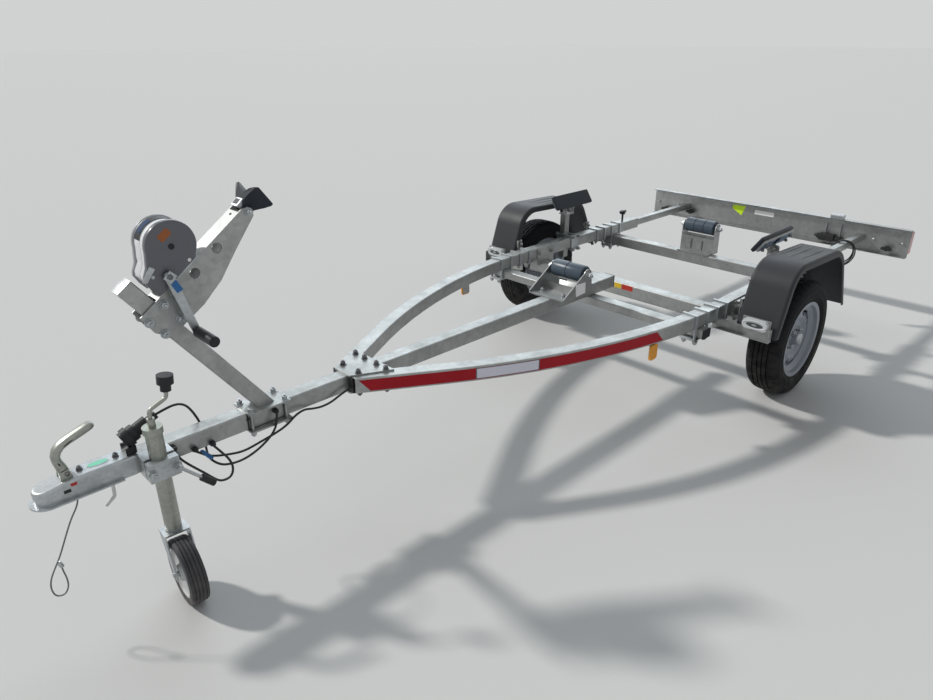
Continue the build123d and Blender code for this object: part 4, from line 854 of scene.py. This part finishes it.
def pad_pieces(side, word):
    body = "pad_" + word + "_body"
    rings = []
    for inset, out in PAD_SECTION:
        inward = PAD_CORNER + inset * 0.8
        keep = 1 - inset / 40
        ring = []
        for cx, cu, start in CORNERS:
            for px, pu in arc((0, 0), PAD_CORNER, start, start + 90, 6):
                x = PAD_CENTRE[0] + cx * (PAD_HALVES[0] - inward) + px * keep
                along = PAD_CENTRE[1] + cu * (PAD_HALVES[1] - inward) + pu * keep
                ring.append(pad_at(x, along, out, side))
        rings.append(ring)
    bm = bmesh.new()
    add_shell(bm, rings)
    mesh_piece("pad_rubber_" + word, bm, [FINISHES["rubber_black"]], body, ["pad_" + word],
               40.0)
    bm = bmesh.new()
    for x0, x1 in ((-226, -97), (-47, 64)):
        for face, near, far, bevel in ((rectangle(x0, x1, 3, 57), 20, 18, 0.8),
                                       (rectangle(x0 + 12, x1 - 12, 25, 35), 18, 14.5, 2.4)):
            step = Vector(pad_at(0, 0, far, side)) - Vector(pad_at(0, 0, near, side))
            add_slab(bm, [pad_at(x, along, near, side) for x, along in face], step, bevel)
    mesh_piece("pad_plate_" + word, bm, [BLUE_PLATE], body, smooth=34.0)
    back = (0.0, math.sin(PAD_TURN) * side, -math.cos(PAD_TURN))
    rows = [(*pad_at(x, along, 18.2, side), back, M8) for x in (-205, 43) for along in (14, 46)]
    bolts("pad_bolts_" + word, rows, body, BOLT_DARK)


for side, word in SIDES:
    pad_pieces(side, word)

# Coupling: green oval plate with a bright rim, red mark, and a black patch beside the nose that is painted
# shade for the inside of a slot
bm = bmesh.new()
for half_long, half_wide, low, thick, bevel, index in ((31, 14, -0.5, 1.3, 0.4, 0),
                                                       (28, 11, 0.5, 0.7, 0.0, 1)):
    face = oval((2790, 0), half_long, half_wide)
    add_slab(bm, [(x, y, COUPLING_TOP + low) for x, y in face], (0, 0, thick), bevel, index)
for face, thick, index in (([(2857, 492), (2875, 492), (2873, 483), (2859, 483)], 1.0, 2),
                           (rectangle(2876, 2894, 478, 468), 0.8, 3)):
    add_slab(bm, on_y(COUPLING_HALF - 0.4, face), (0, thick, 0), 0.0, index)
mesh_piece("coupling_marks_and_slot_shade", bm, [ZINC, LABEL_GREEN, LABEL_RED, PLAIN_BLACK], "chassis",
           smooth=35.0)

# Winch: rounded covers, pale shells over the drum, strap window, hubs and blank patches
DRUM = (162, 84)
COVER_FACE = [(187, 13)] + arc(DRUM, 71, -62, 150, 26) + [
    (83, 100), (72, 88), (52, 76), (44, 68), (40, 38), (42, 11), (60, 8)]
SHELL_FACE = [(184, 9)] + arc(DRUM, 67, -62, 150, 26) + [
    (88, 100), (80, 88), (56, 76), (48, 66), (46, 38), (46, 9)]
COVER_THICK = 19.0
COVER_TOP = WINCH_FACE + COVER_THICK
WINCH_HUBS = (
    # u, v, radius, height, finish
    (161, 84, 8, 4, 0), (97, 37, 12, 5, 0), (68, 62, 5, 2, 1), (168, 22, 5, 2, 2))


def head_slab(bm, face, low, high, bevel=0.0, index=0):
    add_slab(bm, [head_at(u, v, low) for u, v in face], (0, high - low, 0), bevel, index)


def head_band(bm, inner, outer, start, end, low, high, index):
    """A curved slab over the drum, from radius inner to radius outer."""
    face = arc(DRUM, outer, start, end, 16) + arc(DRUM, inner, end, start, 16)
    head_slab(bm, face, low, high, 0.0, index)


bm = bmesh.new()
head_slab(bm, COVER_FACE, WINCH_FACE, COVER_TOP, 5.0)
head_slab(bm, COVER_FACE, -WINCH_FACE, -WINCH_FACE - 12, 4.0, 1)
mesh_piece("winch_covers_round", bm, [FINISHES["winch_grey"], SHELL_DULL], "chassis",
           ["winch_covers"], 32.0)

bm = bmesh.new()
head_slab(bm, SHELL_FACE, -29.5, 8.5, 3.0)
head_slab(bm, SHELL_FACE, 11.0, 33.5, 3.0)
mesh_piece("winch_shells", bm, [SHELL_GREY], "chassis", smooth=32.0)

bm = bmesh.new()
# The black band over the drum is painted shade: it stands for the dark inside of the strap window, and the
# blue strap lies in it.
head_band(bm, 58, 67.9, 10, 128, -27.5, 7, 0)
head_band(bm, 60, 68.8, 74, 112, -20, 2, 4)
for u, v, radius, high, index in WINCH_HUBS:
    hub = [(radius, 0), (radius, high - 1), (radius - 1, high), (radius * 0.45, high),
           (radius * 0.4, high - 1)]
    add_turned(bm, hub, head_at(u, v, COVER_TOP - 0.4), (0, 1, 0), 24, index)
patch = [(u, v) for cu, cv, start in CORNERS
         for u, v in arc((170 + cu * 14, 119 + cv * 7), 4, start, start + 90, 5)]
head_slab(bm, patch, COVER_TOP - 0.3, COVER_TOP + 0.4, 0.0, 3)
head_slab(bm, [(82, 90), (88, 74), (46, 62), (38, 73)], COVER_TOP - 0.5, COVER_TOP + 1.5, 0.6, 1)
mesh_piece("winch_trim", bm, [PLAIN_BLACK, ZINC, LABEL_WHITE, LABEL_BROWN, STRAP_BLUE], "chassis",
           smooth=32.0)

# Bow stop: two thin rubber wings that flare to sharp ends round a V, on a bright bracket
STOP_TOP_EDGE = ((384, -6), (404, 13), (442, 27), (455, 20))
STOP_LOW_EDGE = ((384, -24), (400, -32), (436, -46), (455, -48))
STOP_PLAN = [(384, 12), (384, 23), (402, 25), (412, 31), (428, 45), (444, 58), (450, 59), (452, 57.5),
             (447, 44), (437, 28), (426, 13), (418, 4), (416, 0)]
STOP_CENTRE_U = 405.0
# Share of the way from the low edge to the top edge, and how far the outline is drawn in there
STOP_RINGS = ((0.0, 0.965), (0.03, 0.99), (0.08, 1.0), (0.5, 1.0), (0.92, 1.0), (0.97, 0.99), (1.0, 0.965))


def along_edge(rows, u):
    """The height of an edge at u, straight between its rows."""
    for (u0, v0), (u1, v1) in zip(rows, rows[1:]):
        if u <= u1:
            return v0 + (v1 - v0) * max(0.0, (u - u0) / (u1 - u0))


rings = []
for share, inset in STOP_RINGS:
    ring = []
    for u, y in STOP_PLAN + [(u, -y) for u, y in reversed(STOP_PLAN[:-1])]:
        low, high = along_edge(STOP_LOW_EDGE, u), along_edge(STOP_TOP_EDGE, u)
        ring.append(head_at(STOP_CENTRE_U + (u - STOP_CENTRE_U) * inset, low + (high - low) * share,
                            y * (0.5 + inset / 2)))
    rings.append(ring)
bm = bmesh.new()
add_shell(bm, rings)
mesh_piece("bow_stop_wings", bm, [FINISHES["rubber_black"]], "chassis", ["bow_stop"], 38.0)

bm = bmesh.new()
head_slab(bm, [(404, 14), (412, -4), (383, -9), (376, 12)], -19, 19, 2.0)
head_slab(bm, [(400, 14.4), (403, 6), (386, 3), (382, 13)], -13, 13, 0.0, 1)
for u in (352, 200):
    plug = [(4, -1), (4, 1.4), (2.4, 1.4), (2.4, 0.6)]
    add_turned(bm, plug, head_at(u, 0, 0), (HEAD_UP[0], 0, HEAD_UP[1]), 20, 1)
mesh_piece("stop_bracket", bm, [ZINC, PLAIN_BLACK], "chassis", smooth=32.0)

# Crank's square head with a nut, and the blue sleeve on its arm
bm = bmesh.new()
head_slab(bm, [(80, 47), (108, 50), (112, 24), (84, 20)], 68.2, 71.5, 1.0)
head_slab(bm, [(83, 21), (102, 19), (96, -15), (77, -11)], 61.2, 69.4, 1.2, 1)
nut = [(8.5, 0), (8.5, 5), (7, 6.5), (4.4, 6.5), (4, 5.6)]
add_turned(bm, nut, head_at(96, 38, 71), (0, 1, 0), 6, 2)
mesh_piece("crank_trim", bm, [ZINC, LABEL_BLUE, BOLT_DARK], "crank_body", smooth=32.0)

# Bright cap in the winch post's upper end
POST_LEAN = math.radians(36.07)
POST_RUN = 596.0
POST_HALF = 25.0
bm = bmesh.new()
sideways = Vector((math.cos(POST_LEAN), 0, -math.sin(POST_LEAN)))
upward = Vector((math.sin(POST_LEAN), 0, math.cos(POST_LEAN)))
foot = Vector((WINCH_FOOT_X, 0, CHASSIS_TOP + PLATE_T))
for half, low, high in ((POST_HALF - 1, 0.0, 2.2), (POST_HALF - 7, 2.0, 2.8)):
    face = [foot + upward * (POST_RUN + low) + sideways * a + Vector((0, b, 0))
            for a, b in rectangle(-half, half, -half, half)]
    add_slab(bm, [tuple(place) for place in face], upward * (high - low), 0.8)
mesh_piece("post_cap", bm, [ZINC], "chassis", smooth=32.0)


# Coupling handle: a smooth pressed horn with a rounded end, on its pin
HANDLE_ROWS = [
    # x, z of the middle, half thickness, half width
    (2875, 503, 14, 15), (2876, 518, 14.5, 15.5), (2880, 535, 13.5, 16), (2885, 552, 12, 16),
    (2886, 568, 11.5, 16), (2880, 583, 11.5, 16), (2868, 595, 11, 16), (2850, 604, 11, 16),
    (2830, 611, 11.5, 16), (2810, 618, 11.5, 16), (2796, 623, 11.5, 15.5), (2786, 626, 10.5, 14),
    (2780, 628, 8.5, 10.5), (2777.5, 629, 5, 6),
]
HANDLE_SQUARE = 0.72
HANDLE_STEPS = 20


def coupling_handle():
    bm = bmesh.new()
    middles = [Vector((x, 0, z)) for x, z, thick, wide in HANDLE_ROWS]
    rings = []
    for k, (x, z, thick, wide) in enumerate(HANDLE_ROWS):
        run = (middles[min(len(middles) - 1, k + 1)] - middles[max(0, k - 1)]).normalized()
        out = Vector((run.z, 0, -run.x))
        ring = []
        for j in range(HANDLE_STEPS):
            turn = 2 * math.pi * j / HANDLE_STEPS
            a, b = (math.copysign(abs(part) ** HANDLE_SQUARE, part)
                    for part in (math.cos(turn), math.sin(turn)))
            ring.append(tuple(middles[k] + out * (thick * a) + Vector((0, wide * b, 0))))
        rings.append(ring)
    add_shell(bm, rings)
    for side in (1, -1):
        for x, z, long, wide, slope in ((2884, 549, 12, 4.0, 70), (2850, 602, 30, 3.2, -24)):
            lean = math.radians(slope)
            face = [(x + a * math.cos(lean) - b * math.sin(lean), z + a * math.sin(lean) + b * math.cos(lean))
                    for a, b in oval((0, 0), long / 2, wide / 2, 16)]
            add_slab(bm, on_y(15.6 * side, face), (0, 0.9 * side, 0), 0.0, 1)
    add_turned(bm, [(7, -22), (7, 22), (4, 22.8), (4, -22.8)], (2872, 0, COUPLING_TOP + 12), (0, 1, 0), 20, 2,
               looped=True)
    for side in (1, -1):
        face = [(2858, COUPLING_TOP - 6), (2892, COUPLING_TOP - 10), (2888, COUPLING_TOP + 20),
                (2866, COUPLING_TOP + 24)]
        add_slab(bm, on_y(16.2 * side, face), (0, 3.2 * side, 0), 1.0)
    mesh_piece("handle_horn", bm, [OLIVE_ZINC, PLAIN_BLACK, BOLT_DARK], "chassis",
               ["coupling_handle"], 34.0)


coupling_handle()

# Slots in the rear roller bracket's front plate, drawn as thin dark ovals that are painted shade for the
# openings, and the plate's folded lip
bm = bmesh.new()
for y in (-34, 34):
    add_slab(bm, on_x(-500.2, oval((y, 482), 6, 32)), (0.7, 0, 0))
lip = [(-504, 531), (-504, 541), (-502, 547), (-496, 549), (-489, 546), (-490.5, 543), (-496, 545.4),
       (-499.4, 544), (-500, 540), (-500, 531)]
add_slab(bm, on_y(-96, lip), (0, 192, 0), 0.0, 1)
mesh_piece("bracket_slots", bm, [BOLT_DARK, GALV], "chassis", smooth=40.0)

# Front lamps: raised oval rim, dark ring and clear middle
LAMP_RINGS = (
    # half width, half height and distance out of each ring, for the rim, the dark ring and the middle
    ((54, 20.5, 19), (53, 19.5, 22), (50, 16.5, 23), (46, 12.5, 20.6)),
    ((38, 10.5, 19.5), (37, 9.8, 22.5), (24, 5.0, 24)),
    ((12, 5.0, 21), (11, 4.4, 24.6), (6, 2.0, 25.4)),
)
bm = bmesh.new()
for side in (1, -1):
    for index, rings in enumerate(LAMP_RINGS):
        add_shell(bm, [[(LAMP_X + out, y * side, z) for y, z in oval((LAMP_Y, LAMP_Z), half_y, half_z, 40)]
                       for half_y, half_z, out in rings], index=index)
mesh_piece("front_lamp_rims", bm, [FINISHES["lamp_white"], LAMP_DARK, ZINC], "chassis")

# Light board: blank foils, connector box with two turned ends, U bracket and pressed beads
BOARD_FOILS = (
    [(-251, 508), (-243, 549), (-152, 550), (-181, 469)],
    [(-92, 492), (38, 492), (38, 521), (-92, 521)],
)
BOX_DEPTH = 44.0
bm = bmesh.new()
for index, face in enumerate(BOARD_FOILS):
    add_slab(bm, on_x(BOARD_X, face), (0.6, 0, 0), 0.0, index)
add_box(bm, BOARD_X, BOARD_X + BOX_DEPTH, 352, 442, 411, 458, 13.0, 2)
plug_end = [(14, 0), (17, 3), (17, 22), (14, 25), (14, 34), (9, 38), (8, 46)]
cable_end = [(12, 0), (15, 3), (15, 16), (10, 20), (6, 34)]
add_turned(bm, plug_end, (BOARD_X + BOX_DEPTH / 2, 441, 430), (0, 1, 0), 28, 2)
add_turned(bm, cable_end, (BOARD_X + BOX_DEPTH / 2, 353, 434), (0, -1, 0.1), 28, 2)
bracket = [(377, 519), (381, 519), (381, 433), (463, 433), (463, 519), (467, 519), (467, 427), (377, 427)]
add_slab(bm, on_x(BOARD_X, bracket), (14, 0, 0), 0.0, 3)
for z in (412, 538):
    add_slab(bm, on_x(BOARD_X - 0.3, rectangle(-800, 800, z - 5, z + 5)), (2.2, 0, 0), 1.6, 4)
mesh_piece("board_front_trim", bm, [LABEL_LIME, LABEL_WHITE, PLAIN_BLACK, ZINC, GALV], "board_body")

# Tail lamps: raised red and orange lens fields with ribs
LENS_X = -1463.6
LENS_LOW, LENS_HIGH = 412, 533
bm = bmesh.new()
for side in (1, -1):
    for near, far, index in ((640, 706, 0), (712, 776, 1), (782, 846, 0)):
        y0, y1 = sorted((near * side, far * side))
        add_slab(bm, on_x(LENS_X, rectangle(y0, y1, LENS_LOW, LENS_HIGH)), (-2.4, 0, 0), 1.6, index)
        for z in range(424, 521, 24):
            rib = rectangle(y0 + 5, y1 - 5, z - 1.5, z + 1.5)
            add_slab(bm, on_x(LENS_X - 2.2, rib), (-1.2, 0, 0), 0.5, index)
mesh_piece("tail_lamp_lenses", bm, [FINISHES["lamp_red"], FINISHES["reflector_orange"]], "board_body")

# Wing handles of the board's knobs
bm = bmesh.new()
for side in (1, -1):
    for y, z in ((545, 440), (742.5, 430)):
        wing = arc((21, 0), 9, -90, 90, 6) + arc((-21, 0), 9, 90, 270, 6)
        add_slab(bm, [(BOARD_X + 24, (y + a) * side, z + b) for a, b in wing], (17, 0, 0), 3.0)
mesh_piece("board_wings", bm, [PLAIN_BLACK], "board_body")

# Blank foils on the axle beam and the roller cheek
bm = bmesh.new()
for y0, y1, index in ((-50, -7, 0), (-4, 62, 1)):
    add_slab(bm, on_x(BEAM_X + 34.8, rectangle(y0, y1, 390, 417)), (0.7, 0, 0), 0.0, index)
add_slab(bm, on_y(CHEEK_Y, [(766, 566), (692, 562), (692, 511), (758, 507)]), (0, 0.5, 0), 0.0, 2)
mesh_piece("blank_foils", bm, [LABEL_YELLOW, LABEL_RED, LABEL_WHITE], "chassis", smooth=None)

# Ribs along the mudguards' tops, which slope between two points of x and z
GUARD_REAR = (-281.0, 681.0)
GUARD_FRONT = (247.0, 701.0)
GUARD_SLOPE = (GUARD_FRONT[1] - GUARD_REAR[1]) / (GUARD_FRONT[0] - GUARD_REAR[0])
RIB_ROWS = (
    # x, half width, height over the guard
    (-184, 9, -0.9), (-170, 10, 0.2), (-120, 11, 1.8), (0, 11, 1.8), (80, 10, 0.2), (110, 9, -0.9))
for side, word in SIDES:
    bm = bmesh.new()
    for y in (704, 750, 800):
        rings = []
        for x, half, high in RIB_ROWS:
            top = GUARD_REAR[1] + GUARD_SLOPE * (x - GUARD_REAR[0])
            section = ((-half, -1.2), (3 - half, high), (half - 3, high), (half, -1.2))
            rings.append([(x, (y + a) * side, top + b) for a, b in section])
        add_shell(bm, rings)
    mesh_piece("guard_ribs_" + word, bm, [FINISHES["guard_plastic"]], "chassis")

# Rubber grips where the cables go into the drawbar
GRIP_ROWS = (
    # x, y, z and how far the grip's block reaches down
    (2256, 46, 476, 3), (2532, 43, 449, 5), (2593, 44, 480, 5), (2477, 45, 447, 5))
bm = bmesh.new()
for x, y, z, down in GRIP_ROWS:
    add_box(bm, x - 8, x + 8, TUBE / 2, y - 2, z - down, z + 9, 2.4)
    add_turned(bm, [(6.8, -4), (7.6, -3), (7.6, 4), (6.4, 7)], (x, y, z + 2), (0, 0, 1), 20)
mesh_piece("cable_grips", bm, [PLAIN_BLACK], "chassis", ["cable_clips"], 32.0)

# Front keel roller: two halves with a groove between them and dished ends
half_roller = [(37.6, 3), (40, 5), (40, 81), (38, 86), (33, 88), (27, 88), (24, 82), (8.4, 82)]
roller = [(radius, -along) for radius, along in reversed(half_roller)] + half_roller
bm = bmesh.new()
add_turned(bm, roller, (ROLLER_FRONT[0], 0, ROLLER_FRONT[1]), (0, 1, 0), 72, looped=True)
mesh_piece("front_roller_rubber", bm, [FINISHES["roller_rubber"]], "front_roller_body",
           ["front_roller"], 28.0)

# Folded brace between the front bracket's cheeks, under its roller
bm = bmesh.new()
fold = [(742, 507.0), (716, 507.0), (694, 541), (697, 543.4), (718, 511.0), (742, 511.0)]
add_slab(bm, on_y(-62, fold), (0, 124, 0), 0.8)
mesh_piece("bracket_brace", bm, [GALV], "chassis")

# Pressed rims of the wheel discs' vents, the valve and the hub's dust cap
VENT_R = 119.0
VALVE_R = 138.0
VENT_RIM = [(12.9, -9), (12.9, 3), (14, 4.2), (16, 3.6), (17, 0), (17, -9)]
VALVE = [(6, -14), (6, 0), (4.5, 3), (4.5, 20), (3.6, 22), (5, 22), (5, 32), (4, 33)]
DUST_CAP = [(31.6, 0), (31.6, 6), (30, 8), (29.5, 30), (27, 36), (20, 39.5), (10, 41), (3, 41.3)]
for side, word in SIDES:
    bm = bmesh.new()
    out = (0, side, 0)
    disc = (WHEEL_Y + DISC_Y) * side
    for x, z in arc((0, WHEEL_Z), VENT_R, 22.5, 337.5, 7):
        centre = (x, disc + 10 * side, z)
        add_turned(bm, VENT_RIM, centre, out, 24, looped=True)
        # A dark disc sunk a little into each vent is painted shade for the dark seen through the hole.
        add_turned(bm, [(12.8, -6), (12.8, -4.5)], centre, out, 24, 1)
    add_turned(bm, VALVE, (0, disc + 10 * side, WHEEL_Z + VALVE_R), out, 16, 2)
    add_turned(bm, DUST_CAP, (0, disc, WHEEL_Z), out, 40, 3)
    mesh_piece("wheel_trim_" + word, bm, [FINISHES["rim_steel"], FINISHES["tyre_rubber"], PLAIN_BLACK, ZINC],
               "wheel_" + word + "_body")

# Cable tie round the drawbar: a band on each face, and its lock
TIE_X = 2350.0
TIE_T = 1.4
half = TUBE / 2
bm = bmesh.new()
for y0, y1, z0, z1 in ((-half - TIE_T, half + TIE_T, CHASSIS_TOP, CHASSIS_TOP + TIE_T),
                       (-half - TIE_T, half + TIE_T, CHASSIS_LOW - TIE_T, CHASSIS_LOW),
                       (half, half + TIE_T, CHASSIS_LOW, CHASSIS_TOP),
                       (-half - TIE_T, -half, CHASSIS_LOW, CHASSIS_TOP)):
    add_box(bm, TIE_X - 2.5, TIE_X + 2.5, y0, y1, z0, z1)
add_box(bm, TIE_X - 4, TIE_X + 4, half, half + 5, CHASSIS_MID + 6, CHASSIS_MID + 13, 1.0)
mesh_piece("bar_tie", bm, [PLAIN_BLACK], "chassis", smooth=None)

# Blue cable joint and crimp sleeve of the safety wire
JOINT = [(4.2, -25), (6.4, -22), (7, -18), (7, -4), (5.6, -2), (5.6, 2), (7, 4), (7, 18), (6.4, 22), (4.2, 25)]
SLEEVE = [(4.0, -10), (5.6, -9), (6.2, -6), (5.9, -3), (6.3, 0), (5.9, 3), (6.2, 6), (5.6, 9), (4.0, 10)]
for name, profile, centre, axis, finish, slot_name in (
        ("cable_joint", JOINT, (2500, 37, 418), (-35, 0, -45), LABEL_BLUE, "black_plastic"),
        ("wire_sleeve", SLEEVE, (2951.5, 45, 268), (0.35, 0, 1), ZINC, "zinc_bright")):
    bm = bmesh.new()
    add_turned(bm, profile, centre, axis, 20)
    mesh_piece(name, bm, [finish], "chassis")


# Lights and floor
FLOOR_SEEN = (0.632, 0.645, 0.643)
FLOOR_REACH = 90.0


def set_stage():
    """A pale sky that lights softly and, where seen or mirrored, has the floor's colour, and the floor."""
    world = bpy.data.worlds.new("studio")
    bpy.context.scene.world = world
    world.use_nodes = True
    tree = world.node_tree
    rays = add_node(tree, "ShaderNodeLightPath").outputs
    shown = maths(tree, "MAXIMUM", rays["Is Camera Ray"], rays["Is Glossy Ray"])
    shown = maths(tree, "MAXIMUM", shown, rays["Is Transmission Ray"])
    sky = tree.nodes["Background"]
    feed(tree, sky.inputs, {"Color": (0.9, 0.95, 1.0, 1), "Strength": 0.34})
    seen = add_node(tree, "ShaderNodeBackground", {"Color": (*FLOOR_SEEN, 1)})
    mix = add_node(tree, "ShaderNodeMixShader", {"Fac": shown, 1: sky.outputs["Background"],
                                                 2: seen.outputs["Background"]})
    tree.links.new(mix.outputs["Shader"], tree.nodes["World Output"].inputs["Surface"])
    mesh = bpy.data.meshes.new("floor")
    corners = rectangle(-FLOOR_REACH, FLOOR_REACH, -FLOOR_REACH, FLOOR_REACH)
    mesh.from_pydata([(x, y, 0.0) for x, y in corners], [], [(0, 1, 2, 3)])
    mat, tree, shader = new_material("pale floor")
    feed(tree, shader, {"Base Color": (0.66, 0.655, 0.64, 1), "Roughness": 0.9, "Specular IOR Level": 0.1})
    mesh.materials.append(mat)
    link(bpy.data.objects.new("floor", mesh))


def soft_sun(name, toward, strength, spread, color):
    data = bpy.data.lights.new(name, "SUN")
    data.energy = strength
    data.angle = math.radians(spread)
    data.color = color
    lamp = link(bpy.data.objects.new(name, data))
    lamp.rotation_mode = "QUATERNION"
    lamp.rotation_quaternion = Vector(toward).to_track_quat("-Z", "Y")


set_stage()
soft_sun("sun", (-0.66, 1.15, -1.0), 2.25, 4.0, (1.0, 0.98, 0.95))
soft_sun("sky behind", (0.6, 0.62, -0.5), 1.1, 60.0, (0.84, 0.93, 1.0))
bpy.context.scene.view_settings.view_transform = "Standard"
